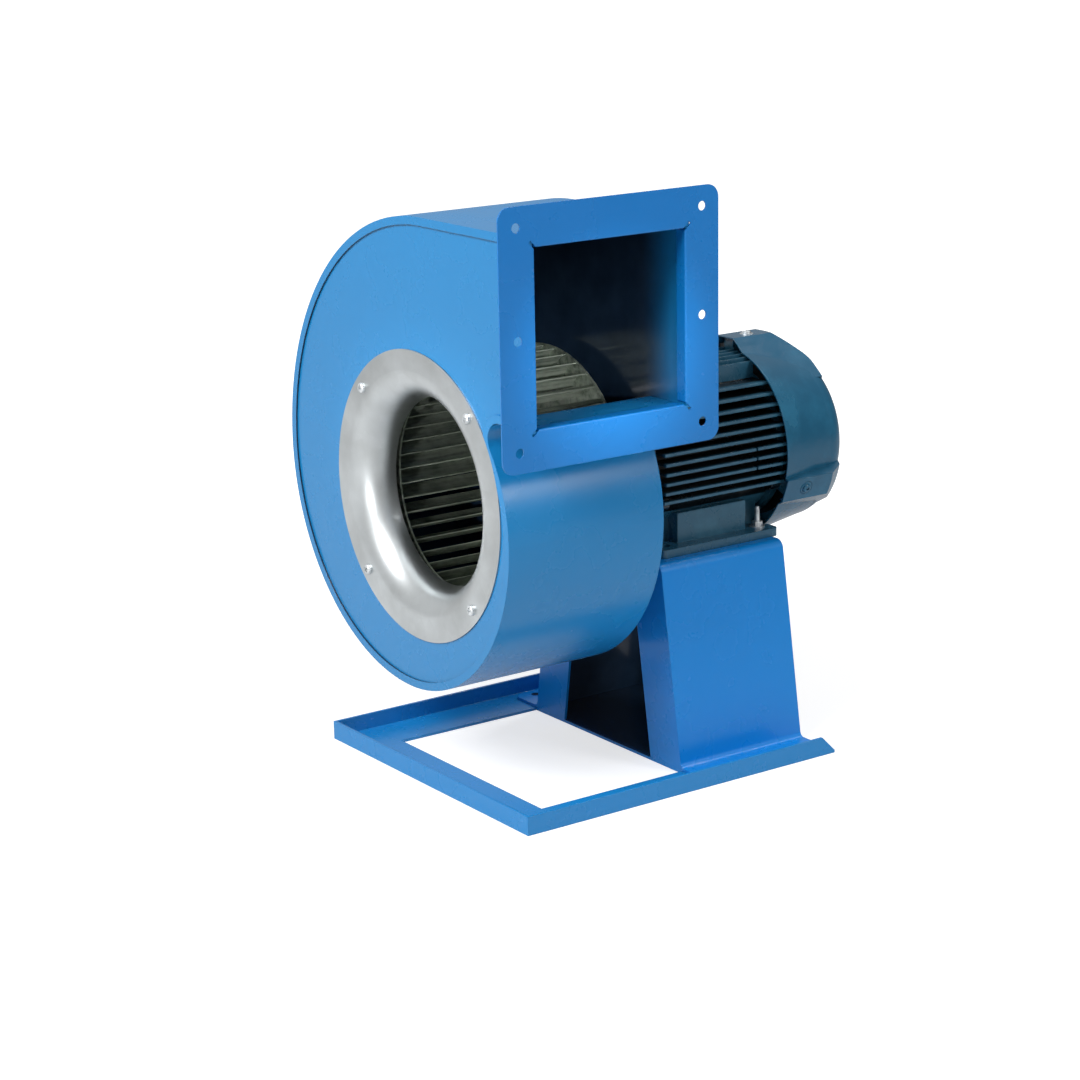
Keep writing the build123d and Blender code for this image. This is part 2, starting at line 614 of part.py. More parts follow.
extension = SHAFT_DIAMETER / 2
journal = BEARING_BORE / 2
body = ROTOR_SHAFT_DIAMETER / 2
tail = FAN_SHAFT_DIAMETER / 2
front_bearing_end = FRONT_BEARING_Y + BEARING_WIDTH
rear_bearing_end = REAR_BEARING_Y + BEARING_WIDTH
clip_start = COOLING_FAN_Y + COOLING_FAN_WIDTH + SEAT_FIT
shaft_tail_end = clip_start + CLIP_THICKNESS + CLIP_SHOULDER

with BuildPart() as motor_shaft:
    add(turned([
        (SHAFT_END_Y, 0), (SHAFT_END_Y, extension), (SHOULDER_Y, extension),
        (SHOULDER_Y, journal), (front_bearing_end, journal), (front_bearing_end, body),
        (REAR_BEARING_Y, body), (REAR_BEARING_Y, journal), (rear_bearing_end, journal),
        (rear_bearing_end, tail), (clip_start, tail), (clip_start, tail - CLIP_DEPTH),
        (clip_start + CLIP_THICKNESS, tail - CLIP_DEPTH), (clip_start + CLIP_THICKNESS, tail),
        (shaft_tail_end, tail), (shaft_tail_end, 0)]))
    with BuildSketch(seen_from_inlet(key_front)):
        with Locations((0, key_seat + KEY_HEIGHT / 2)):
            Rectangle(KEY_WIDTH + 2 * SEAT_FIT, KEY_HEIGHT + 2 * SEAT_FIT)
    extrude(amount=-KEY_LENGTH, mode=Mode.SUBTRACT)
    with BuildSketch(seen_from_inlet(SHAFT_END_Y)):
        Circle(END_BOLT_DIAMETER / 2 + THREAD_GAP)
    extrude(amount=-END_BOLT_LENGTH, mode=Mode.SUBTRACT)
finish(motor_shaft, "motor_shaft")

with BuildPart() as rotor_core:
    add(ring(STACK_FRONT, STACK_BACK, body + SEAT_FIT, ROTOR_DIAMETER / 2))
finish(rotor_core, "rotor_core")

with BuildPart() as stator_core:
    add(ring(STACK_FRONT, STACK_BACK, ROTOR_DIAMETER / 2 + AIR_GAP, FRAME_BORE / 2 - SEAT_FIT))
finish(stator_core, "stator_core")

with BuildPart() as stator_windings:
    add(ring(STACK_FRONT - WINDING_OVERHANG, STACK_FRONT, WINDING_INNER / 2, WINDING_OUTER / 2))
    add(ring(STACK_BACK, STACK_BACK + WINDING_OVERHANG, WINDING_INNER / 2, WINDING_OUTER / 2))
finish(stator_windings, "stator_windings")

# Bearings: rings with a groove for the balls

ball_circle = (BEARING_BORE + BEARING_OUTER) / 4
ball_radius = (BEARING_OUTER - BEARING_BORE) / 4 - BEARING_RACE + BALL_BITE
inner_race = journal + BEARING_RACE
outer_race = BEARING_OUTER / 2 - BEARING_RACE

for place, bearing_start in (("front", FRONT_BEARING_Y), ("rear", REAR_BEARING_Y)):
    bearing_end = bearing_start + BEARING_WIDTH
    bearing_middle = (bearing_start + bearing_end) / 2
    with BuildPart() as groove:
        with BuildSketch(HALF_SECTION):
            with Locations((bearing_middle, ball_circle)):
                Circle(ball_radius + BALL_CLEARANCE)
        revolve(axis=SHAFT_AXIS)
    with BuildPart() as bearing_inner:
        add(ring(bearing_start, bearing_end, journal + SEAT_FIT, inner_race))
        add(groove.part, mode=Mode.SUBTRACT)
    finish(bearing_inner, place + "_bearing_inner_ring")
    with BuildPart() as bearing_outer:
        add(ring(bearing_start, bearing_end, outer_race, BEARING_OUTER / 2))
        add(groove.part, mode=Mode.SUBTRACT)
    finish(bearing_outer, place + "_bearing_outer_ring")
    with BuildPart() as bearing_balls:
        with Locations(seen_from_inlet(bearing_middle)):
            with PolarLocations(ball_circle, BALL_COUNT):
                Sphere(ball_radius)
    finish(bearing_balls, place + "_bearing_balls")

# Motor housing

side_fin_heights = [FIN_TOP - FIN_PITCH * count for count in range(SIDE_FINS)]
top_fin_places = [
    side * TOP_FIN_PITCH * (count + 1) for side in (-1, 1) for count in range(TOP_FINS)]
lug_places = [
    (LUG_PITCH_DIAMETER / 2 * cos(radians(angle)), LUG_PITCH_DIAMETER / 2 * sin(radians(angle)))
    for angle in LUG_ANGLES]
foot_middle = (FOOT_WIDTH / 2 + FOOT_INNER) / 2
foot_plate_width = FOOT_WIDTH / 2 - FOOT_INNER
web_outer = FOOT_SPACING_X / 2
web_top = -sqrt(FRAME_RADIUS ** 2 - FOOT_INNER ** 2)
web_low = FOOT_THICKNESS - MOTOR_SHAFT_HEIGHT
foot_notch = sqrt((COWL_DIAMETER / 2) ** 2 - web_low ** 2) + 2 * SEAT_GAP

with BuildPart() as motor_housing:
    with BuildSketch(seen_from_inlet(FRAME_FRONT)):
        Circle(FRAME_RADIUS)
        for height in side_fin_heights:
            with Locations((0, height)):
                Rectangle(2 * sqrt(FIN_REACH ** 2 - height ** 2), FIN_THICKNESS)
        for place_x in top_fin_places:
            with Locations((place_x, 0)):
                Rectangle(FIN_THICKNESS, sqrt(TOP_FIN_REACH ** 2 - place_x ** 2),
                          align=(Align.CENTER, Align.MIN))
    extrude(amount=-FRAME_LENGTH)
    notch_height = FIN_TOP - (SIDE_FINS // 2 + 2) * FIN_PITCH
    with Locations((FIN_REACH, FIN_NOTCH_Y, SHAFT_HEIGHT + notch_height)):
        Box(2 * FIN_NOTCH_DEPTH, FIN_NOTCH_WIDTH, FIN_NOTCH_HEIGHT, mode=Mode.SUBTRACT)
    # A flat seat for the terminal box, with the fins cut away around it
    with BuildSketch(seen_from_inlet(BOX_FRONT)):
        with Locations((0, BOX_SEAT)):
            Rectangle(BOX_WIDTH + 2 * BOX_ROOM, TOP_FIN_REACH, align=(Align.CENTER, Align.MIN))
    extrude(amount=-(BOX_LENGTH + BOX_ROOM), mode=Mode.SUBTRACT)
    with BuildSketch(seen_from_inlet(BOX_FRONT)):
        with Locations((0, BOX_SEAT)):
            Rectangle(BOX_WIDTH - 2 * BOX_WALL, BOX_SEAT - FRAME_BORE / 2 - FRAME_WALL / 2,
                      align=(Align.CENTER, Align.MAX))
    extrude(amount=-BOX_LENGTH)
    for lug_front in (FRAME_FRONT, FRAME_BACK - LUG_LENGTH):
        with BuildSketch(seen_from_inlet(lug_front)):
            with Locations(*lug_places):
                Circle(LUG_RADIUS)
        extrude(amount=-LUG_LENGTH)
    # Feet, each with an upright web between the pockets for the bolts
    with BuildSketch(Plane.XY.offset(PEDESTAL_HEIGHT)):
        with Locations((-foot_middle, FOOT_CENTRE_Y), (foot_middle, FOOT_CENTRE_Y)):
            RectangleRounded(foot_plate_width, FOOT_LENGTH, FOOT_CORNER)
        # The inner corners end short of the cowl
        with Locations((0, COWL_FRONT - 2 * SEAT_GAP)):
            Rectangle(2 * foot_notch, FOOT_LENGTH, align=(Align.CENTER, Align.MIN),
                      mode=Mode.SUBTRACT)
    extrude(amount=FOOT_THICKNESS)
    with BuildSketch(seen_from_inlet(FOOT_CENTRE_Y - FOOT_LENGTH / 2 + FOOT_CORNER)):
        for side in (-1, 1):
            with Locations((side * (FOOT_INNER + FOOT_WEB / 2), web_low)):
                Rectangle(FOOT_WEB, web_top - web_low + FOOT_WEB, align=(Align.CENTER, Align.MIN))
    extrude(amount=-(FOOT_LENGTH - 2 * FOOT_CORNER))
    with BuildSketch(seen_from_inlet(FOOT_CENTRE_Y - FOOT_WEB_LENGTH / 2)):
        for side in (-1, 1):
            with Locations((side * (FOOT_INNER + web_outer) / 2, web_low)):
                Rectangle(web_outer - FOOT_INNER, FOOT_WEB_HEIGHT, align=(Align.CENTER, Align.MIN))
    extrude(amount=-FOOT_WEB_LENGTH)
    # The bore, the foot holes and the threads of the end shield bolts
    with BuildSketch(seen_from_inlet(FRAME_FRONT)):
        Circle(FRAME_BORE / 2)
        with Locations(*lug_places):
            Circle(SHIELD_BOLT / 2 + THREAD_GAP)
    extrude(amount=-FRAME_LENGTH, mode=Mode.SUBTRACT)
    with BuildSketch(Plane.XY.offset(PEDESTAL_HEIGHT)):
        with Locations(*FOOT_PLACES):
            Circle(FOOT_HOLE / 2)
    extrude(amount=FOOT_THICKNESS, mode=Mode.SUBTRACT)
finish(motor_housing, "motor_housing")

spigot_radius = FLANGE_SPIGOT / 2
bearing_seat = BEARING_OUTER / 2 + SEAT_FIT
boss_radius = BEARING_OUTER / 2 + BOSS_WALL
seal_seat_end = SHOULDER_Y - SPIGOT_HEIGHT + SEAL_WIDTH + SEAL_SET_IN
frame_spigot = FRAME_BORE / 2 - SEAT_FIT

with BuildPart() as drive_end_shield:
    add(turned([
        (SHOULDER_Y - SPIGOT_HEIGHT, SEAL_OUTER / 2 + SEAT_FIT),
        (SHOULDER_Y - SPIGOT_HEIGHT, spigot_radius),
        (SHOULDER_Y, spigot_radius),
        (SHOULDER_Y, FLANGE_DIAMETER / 2),
        (SHOULDER_Y + FLANGE_THICKNESS, FLANGE_DIAMETER / 2),
        (SHOULDER_Y + FLANGE_THICKNESS, SHIELD_NECK),
        (FRAME_FRONT - LUG_LENGTH, SHIELD_NECK),
        (FRAME_FRONT - SHIELD_RIM, SHIELD_RADIUS),
        (FRAME_FRONT, SHIELD_RADIUS),
        (FRAME_FRONT, frame_spigot),
        (FRAME_FRONT + SHIELD_SPIGOT, frame_spigot),
        (FRAME_FRONT + SHIELD_SPIGOT, frame_spigot - SHIELD_SPIGOT),
        (SHOULDER_Y + FLANGE_THICKNESS + SHIELD_SPIGOT, frame_spigot - SHIELD_SPIGOT),
        (SHOULDER_Y + FLANGE_THICKNESS, boss_radius),
        (front_bearing_end, boss_radius),
        (front_bearing_end, bearing_seat),
        (FRONT_BEARING_Y, bearing_seat),
        (FRONT_BEARING_Y, journal + SHAFT_ROOM),
        (seal_seat_end, journal + SHAFT_ROOM),
        (seal_seat_end, SEAL_OUTER / 2 + SEAT_FIT)]))
    with BuildSketch(seen_from_inlet(FRAME_FRONT - LUG_LENGTH)):
        with Locations(*lug_places):
            Circle(LUG_RADIUS)
    extrude(amount=-LUG_LENGTH)
    with BuildSketch(seen_from_inlet(FRAME_FRONT - LUG_LENGTH)):
        with Locations(*lug_places):
            Circle(SHIELD_BOLT / 2 + THREAD_GAP)
    extrude(amount=-LUG_LENGTH, mode=Mode.SUBTRACT)
    with BuildSketch(seen_from_inlet(SHOULDER_Y)):
        with PolarLocations(FLANGE_PITCH_DIAMETER / 2, 4, start_angle=45):
            Circle((FLANGE_BOLT + HOLE_CLEARANCE) / 2)
    extrude(amount=-FLANGE_THICKNESS, mode=Mode.SUBTRACT)
finish(drive_end_shield, "drive_end_shield")

rear_disc_end = FRAME_BACK + REAR_SHIELD_THICKNESS

with BuildPart() as rear_end_shield:
    add(turned([
        (REAR_BEARING_Y - SEAT_GAP, boss_radius),
        (FRAME_BACK, boss_radius),
        (FRAME_BACK, frame_spigot - SHIELD_SPIGOT),
        (FRAME_BACK - SHIELD_SPIGOT, frame_spigot - SHIELD_SPIGOT),
        (FRAME_BACK - SHIELD_SPIGOT, frame_spigot),
        (FRAME_BACK, frame_spigot),
        (FRAME_BACK, SHIELD_RADIUS),
        (rear_disc_end, SHIELD_RADIUS),
        (rear_disc_end, boss_radius),
        (rear_bearing_end + SHAFT_ROOM, boss_radius),
        (rear_bearing_end + SHAFT_ROOM, tail + SHAFT_ROOM),
        (rear_bearing_end, tail + SHAFT_ROOM),
        (rear_bearing_end, bearing_seat),
        (REAR_BEARING_Y - SEAT_GAP, bearing_seat)]))
    with BuildSketch(seen_from_inlet(FRAME_BACK)):
        with Locations(*lug_places):
            Circle(LUG_RADIUS)
    extrude(amount=-REAR_SHIELD_THICKNESS)
    # Arms with posts that carry the screws of the cowl
    for angle, reach in zip(LUG_ANGLES, COWL_PAD_REACHES):
        with BuildSketch(seen_from_inlet(FRAME_BACK)):
            with PolarLocations(reach - COWL_SHEET - POST_GAP, 1, start_angle=angle):
                Rectangle(reach - SHIELD_RADIUS, POST_WIDTH, align=(Align.MAX, Align.CENTER))
        extrude(amount=-REAR_SHIELD_THICKNESS)
        with BuildSketch(seen_from_inlet(FRAME_BACK)):
            with PolarLocations(reach - COWL_SHEET - POST_GAP, 1, start_angle=angle):
                Rectangle(POST_DEPTH, POST_WIDTH, align=(Align.MAX, Align.CENTER))
        extrude(amount=-(COWL_SCREW_Y + POST_WIDTH / 2 - FRAME_BACK))
    with BuildSketch(seen_from_inlet(FRAME_BACK)):
        with Locations(*lug_places):
            Circle(SHIELD_BOLT / 2 + THREAD_GAP)
    extrude(amount=-REAR_SHIELD_THICKNESS, mode=Mode.SUBTRACT)
    with BuildSketch(seen_from_inlet(rear_disc_end)):
        with Locations(*lug_places):
            Circle(LUG_RADIUS)
    extrude(amount=-(COWL_SCREW_Y + POST_WIDTH), mode=Mode.SUBTRACT)
    for angle, reach in zip(LUG_ANGLES, COWL_PAD_REACHES):
        with Locations(Location((0, COWL_SCREW_Y, SHAFT_HEIGHT), (0, -angle, 0))):
            with Locations(Location((reach, 0, 0), (0, 90, 0))):
                Cylinder(COWL_SCREW_SHANK / 2 + THREAD_GAP,
                         2 * (COWL_SCREW_LENGTH + COWL_DIMPLE_DEPTH), mode=Mode.SUBTRACT)
finish(rear_end_shield, "rear_end_shield")

shield_bolt = hex_bolt(SHIELD_BOLT, LUG_LENGTH + SHIELD_BOLT_GRIP)
with BuildPart() as end_shield_bolts:
    with Locations(Plane(origin=(0, FRAME_FRONT - LUG_LENGTH, SHAFT_HEIGHT),
                         x_dir=(-1, 0, 0), z_dir=(0, 1, 0))):
        with Locations(*[(-x, z) for x, z in lug_places]):
            add(shield_bolt)
    with Locations(seen_from_inlet(rear_disc_end)):
        with Locations(*lug_places):
            add(shield_bolt)
finish(end_shield_bolts, "end_shield_bolts")

with BuildPart() as shaft_seal:
    add(ring(seal_seat_end - SEAL_WIDTH, seal_seat_end,
             journal + RUNNING_CLEARANCE, SEAL_OUTER / 2))
finish(shaft_seal, "shaft_seal")

# Motor adapter between the casing and the flange

with BuildPart() as motor_adapter:
    with BuildSketch(seen_from_inlet(REAR_PLATE_BACK)):
        Circle(FLANGE_DIAMETER / 2)
        Circle(spigot_radius + SEAT_FIT, mode=Mode.SUBTRACT)
        with PolarLocations(FLANGE_PITCH_DIAMETER / 2, 4, start_angle=45):
            Circle((FLANGE_BOLT + HOLE_CLEARANCE) / 2, mode=Mode.SUBTRACT)
    extrude(amount=-ADAPTER_LENGTH)
finish(motor_adapter, "motor_adapter")

flange_grip = FLANGE_THICKNESS + ADAPTER_LENGTH + CASING_SHEET
flange_bolt = hex_bolt(FLANGE_BOLT, flange_grip + NUT_FACTOR * FLANGE_BOLT + BOLT_PROUD)
with BuildPart() as flange_bolts:
    with Locations(seen_from_inlet(SHOULDER_Y + FLANGE_THICKNESS)):
        with PolarLocations(FLANGE_PITCH_DIAMETER / 2, 4, start_angle=45):
            add(flange_bolt)
finish(flange_bolts, "flange_bolts")

flange_nut = hex_nut(FLANGE_BOLT)
with BuildPart() as flange_nuts:
    with Locations(seen_from_inlet(REAR_PLATE_FRONT)):
        with PolarLocations(FLANGE_PITCH_DIAMETER / 2, 4, start_angle=45):
            add(flange_nut)
finish(flange_nuts, "flange_nuts")

# Cooling fan and cowl

with BuildPart() as cooling_fan:
    add(ring(COOLING_FAN_Y, COOLING_FAN_Y + COOLING_FAN_WIDTH, tail + SEAT_FIT, COOLING_FAN_HUB / 2))
    add(ring(COOLING_FAN_Y, COOLING_FAN_Y + COOLING_FAN_SHEET,
             COOLING_FAN_HUB / 2 - JOIN_OVERLAP, COOLING_FAN_DIAMETER / 2))
    with BuildSketch(seen_from_inlet(COOLING_FAN_Y)):
        with PolarLocations(COOLING_FAN_HUB / 2 - JOIN_OVERLAP, COOLING_FAN_BLADES):
            Rectangle((COOLING_FAN_DIAMETER - COOLING_FAN_HUB) / 2, COOLING_FAN_SHEET,
                      align=(Align.MIN, Align.CENTER))
    extrude(amount=-COOLING_FAN_WIDTH)
finish(cooling_fan, "cooling_fan")

with BuildPart() as fan_circlip:
    add(ring(clip_start, clip_start + CLIP_THICKNESS - SEAT_FIT,
             tail - CLIP_DEPTH + SEAT_FIT, tail + CLIP_DEPTH))
finish(fan_circlip, "fan_circlip")


def cowl_pad(reach, sides, inset):
    """The front view of a pad on +X: a flat, with a flank that slopes away on each of its sides."""
    half_width = COWL_PAD_WIDTH / 2
    slope = radians(COWL_FLANK_SLOPE)
    top = reach - inset
    to_flank = reach * cos(slope) + half_width * sin(slope) - inset
    across = (to_flank / cos(slope) - top) / tan(slope)
    with BuildSketch() as pad:
        Rectangle(top, 2 * (half_width - inset), align=(Align.MIN, Align.CENTER))
        for side in sides:
            corners = [
                (0, 0), (top, side * across), (to_flank * cos(slope), side * to_flank * sin(slope))]
            Polygon(*corners[::side], align=None)
    return pad.sketch


def cowl_pads(inset):
    """All pads of the cowl, sloped down to the drum at the rear."""
    with BuildPart() as pads:
        for angle, reach, sides in zip(LUG_ANGLES, COWL_PAD_REACHES, COWL_PAD_FLANKS):
            with BuildSketch(seen_from_inlet(COWL_FRONT)):
                with PolarLocations(0, 1, start_angle=angle):
                    add(cowl_pad(reach, sides, inset))
            extrude(amount=-COWL_LENGTH)
        rear = [(COWL_FRONT + place - inset, radius - inset) for place, radius in COWL_PAD_REAR]
        add(turned([(COWL_FRONT, 0), (COWL_FRONT, rear[0][1])] + rear + [(rear[-1][0], 0)]),
            mode=Mode.INTERSECT)
    return pads.part


def cowl_body(inset):
    """The cowl as a solid block: a tapered drum with pads, its faces moved inwards by inset."""
    bend = COWL_BACK - COWL_CORNER
    corner = COWL_CORNER - inset
    front_radius = COWL_DIAMETER / 2 - inset
    rear_radius = COWL_REAR_DIAMETER / 2 - inset
    with BuildPart() as body:
        with BuildSketch(HALF_SECTION):
            with BuildLine():
                CenterArc((bend, rear_radius - corner), corner, 0, 90)
                Polyline((bend, rear_radius), (COWL_FRONT, front_radius), (COWL_FRONT, 0),
                         (bend + corner, 0), (bend + corner, rear_radius - corner))
            make_face()
        revolve(axis=SHAFT_AXIS)
        add(cowl_pads(inset))
    return body.part


with BuildPart() as fan_cowl:
    add(cowl_body(0))
    add(cowl_body(COWL_SHEET), mode=Mode.SUBTRACT)
    with BuildSketch(seen_from_inlet(COWL_BACK)):
        for slot_radius in sorted(GRILLE_RINGS, reverse=True):
            Circle(slot_radius + GRILLE_SLOT / 2)
            Circle(slot_radius - GRILLE_SLOT / 2, mode=Mode.SUBTRACT)
        with PolarLocations(0, GRILLE_SPOKES):
            Rectangle(COWL_DIAMETER / 2, GRILLE_SPOKE_WIDTH, align=(Align.MIN, Align.CENTER),
                      mode=Mode.SUBTRACT)
    extrude(amount=COWL_SHEET, mode=Mode.SUBTRACT)
    for angle, reach in zip(LUG_ANGLES, COWL_PAD_REACHES):
        with Locations(Location((0, COWL_SCREW_Y, SHAFT_HEIGHT), (0, -angle, 0))):
            with Locations(Location((reach, 0, 0), (0, 90, 0))):
                Cylinder(COWL_DIMPLE / 2, 2 * COWL_DIMPLE_DEPTH, mode=Mode.SUBTRACT)
                Cylinder(COWL_SCREW_SHANK / 2 + THREAD_GAP, COWL_SCREW_LENGTH, mode=Mode.SUBTRACT)
finish(fan_cowl, "fan_cowl")

cowl_screw = pan_screw(COWL_SCREW_HEAD, COWL_SCREW_HEAD_HEIGHT, COWL_SCREW_SHANK, COWL_SCREW_LENGTH)
with BuildPart() as cowl_screws:
    for angle, reach in zip(LUG_ANGLES, COWL_PAD_REACHES):
        with Locations(Location((0, COWL_SCREW_Y, SHAFT_HEIGHT), (0, -angle, 0))):
            with Locations(Location((reach - COWL_DIMPLE_DEPTH, 0, 0), (0, 90, 0))):
                add(cowl_screw)
finish(cowl_screws, "cowl_screws")

# Terminal box

box_middle = BOX_FRONT + BOX_LENGTH / 2
box_bottom = SHAFT_HEIGHT + BOX_SEAT
lid_bottom = box_bottom + BOX_BODY_HEIGHT
gland_height = box_bottom + BOX_BODY_HEIGHT / 2
post_spacing_x = BOX_WIDTH - 2 * BOX_CORNER
post_spacing_y = BOX_LENGTH - 2 * BOX_CORNER

with BuildPart() as terminal_box:
    with BuildSketch(Plane(origin=(0, box_middle, box_bottom))):
        RectangleRounded(BOX_WIDTH, BOX_LENGTH, BOX_CORNER)
    extrude(amount=BOX_BODY_HEIGHT)
    with BuildSketch(Plane(origin=(0, box_middle, box_bottom + BOX_WALL))):
        RectangleRounded(BOX_WIDTH - 2 * BOX_WALL, BOX_LENGTH - 2 * BOX_WALL, BOX_CORNER - BOX_WALL)
    extrude(amount=BOX_BODY_HEIGHT, mode=Mode.SUBTRACT)
    with BuildSketch(Plane(origin=(0, box_middle, box_bottom))):
        with GridLocations(post_spacing_x, post_spacing_y, 2, 2):
            Circle(BOX_CORNER - BOX_WALL / 2)
    extrude(amount=BOX_BODY_HEIGHT)
    with BuildSketch(Plane(origin=(0, box_middle, lid_bottom))):
        with GridLocations(post_spacing_x, post_spacing_y, 2, 2):
            Circle(LID_SCREW / 2 + THREAD_GAP)
    extrude(amount=-LID_SCREW_LENGTH, mode=Mode.SUBTRACT)
    with Locations(Location((-BOX_WIDTH / 2, box_middle, gland_height), (0, 90, 0))):
        Cylinder(GLAND_DIAMETER / 2 + THREAD_GAP, 2 * BOX_CORNER, mode=Mode.SUBTRACT)
finish(terminal_box, "terminal_box")

with BuildPart() as terminal_box_lid:
    with BuildSketch(Plane(origin=(0, box_middle, lid_bottom))):
        RectangleRounded(BOX_WIDTH, BOX_LENGTH, BOX_CORNER)
    extrude(amount=BOX_LID_HEIGHT)
    fillet(terminal_box_lid.edges().group_by(Axis.Z)[-1], LID_EDGE)
    with BuildSketch(Plane(origin=(0, box_middle, lid_bottom))):
        with GridLocations(post_spacing_x, post_spacing_y, 2, 2):
            Circle(LID_SCREW / 2 + THREAD_GAP)
    extrude(amount=BOX_LID_HEIGHT, mode=Mode.SUBTRACT)
finish(terminal_box_lid, "terminal_box_lid")

lid_screw_shank = BOX_LID_HEIGHT + LID_SCREW_GRIP
lid_screw = pan_screw(2 * LID_SCREW, LID_SCREW_HEAD_HEIGHT, LID_SCREW, lid_screw_shank)
with BuildPart() as terminal_lid_screws:
    with Locations(Plane(origin=(0, box_middle, lid_bottom + BOX_LID_HEIGHT))):
        with GridLocations(post_spacing_x, post_spacing_y, 2, 2):
            add(lid_screw)
finish(terminal_lid_screws, "terminal_lid_screws")

board_bottom = box_bottom + BOX_WALL
with BuildPart() as terminal_board:
    with BuildSketch(Plane(origin=(0, box_middle, board_bottom))):
        Rectangle(BOARD_WIDTH, BOARD_LENGTH)
    extrude(amount=BOARD_HEIGHT)
finish(terminal_board, "terminal_board")

with BuildPart() as terminal_studs:
    with BuildSketch(Plane(origin=(0, box_middle, board_bottom + BOARD_HEIGHT))):
        with GridLocations(TERMINAL_SPACING_X, TERMINAL_SPACING_Y, 3, 2):
            Circle(TERMINAL_STUD / 2)
    extrude(amount=TERMINAL_STUD_HEIGHT)
finish(terminal_studs, "terminal_studs")

gland_plane = Plane(
    origin=(-BOX_WIDTH / 2, box_middle, gland_height), x_dir=(0, 1, 0), z_dir=(-1, 0, 0))
with BuildPart() as cable_gland:
    with BuildSketch(gland_plane):
        RegularPolygon(GLAND_HEX / 2, 6, major_radius=False)
    extrude(amount=GLAND_HEX_LENGTH)
    with BuildSketch(gland_plane.offset(GLAND_HEX_LENGTH)):
        Circle(GLAND_CAP / 2)
    extrude(amount=GLAND_LENGTH - GLAND_HEX_LENGTH, taper=GLAND_TAPER)
    with BuildSketch(gland_plane):
        Circle(GLAND_DIAMETER / 2)
    extrude(amount=-BOX_WALL)
    with BuildSketch(gland_plane.offset(GLAND_LENGTH)):
        Circle(CABLE_HOLE / 2)
    extrude(amount=-(GLAND_LENGTH + BOX_WALL), mode=Mode.SUBTRACT)
finish(cable_gland, "cable_gland")

# Bolts of the rear feet, with washers and nuts. The flange holds the front of the motor

foot_bolt = hex_bolt(FOOT_BOLT, PEDESTAL_SHEET + FOOT_BOLT_REACH)
with BuildPart() as foot_bolts:
    with Locations(*[(x, y, PEDESTAL_HEIGHT - PEDESTAL_SHEET) for x, y in FOOT_BOLT_PLACES]):
        add(foot_bolt)
finish(foot_bolts, "foot_bolts")

with BuildPart() as foot_washers:
    with BuildSketch(Plane.XY.offset(FOOT_TOP)):
        with Locations(*FOOT_BOLT_PLACES):
            Circle(WASHER_FACTOR * FOOT_BOLT / 2)
            Circle(FOOT_BOLT / 2 + THREAD_GAP, mode=Mode.SUBTRACT)
    extrude(amount=WASHER_THICKNESS)
finish(foot_washers, "foot_washers")

foot_nut = hex_nut(FOOT_BOLT)
with BuildPart() as foot_nuts:
    with Locations(*[(x, y, FOOT_TOP + WASHER_THICKNESS) for x, y in FOOT_BOLT_PLACES]):
        add(foot_nut)
finish(foot_nuts, "foot_nuts")

# Pedestal: a sheet folded over the top, with lips at both ends and foot flanges

wall_rise = PEDESTAL_HEIGHT - BASE_SHEET
wall_slope = (PEDESTAL_BOTTOM_WIDTH - PEDESTAL_TOP_WIDTH) / 2 / wall_rise
wall_across = PEDESTAL_SHEET * sqrt(1 + wall_slope ** 2)


def pedestal_face(inset, drop, corner):
    """The front view of the pedestal, with its sides moved inwards and its top lowered."""
    half_bottom = PEDESTAL_BOTTOM_WIDTH / 2 - inset
    half_top = PEDESTAL_TOP_WIDTH / 2 - inset + wall_slope * drop
    with BuildSketch() as face:
        with BuildLine():
            Polyline((PEDESTAL_OFFSET - half_bottom, BASE_SHEET),
                     (PEDESTAL_OFFSET - half_top, PEDESTAL_HEIGHT - drop),
                     (PEDESTAL_OFFSET + half_top, PEDESTAL_HEIGHT - drop),
                     (PEDESTAL_OFFSET + half_bottom, BASE_SHEET), close=True)
        make_face()
        fillet(face.vertices().group_by(Axis.Y)[-1], corner)
    return face.sketch


pedestal_front = -PEDESTAL_LENGTH / 2
lip_across = PEDESTAL_LIP * sqrt(1 + wall_slope ** 2)

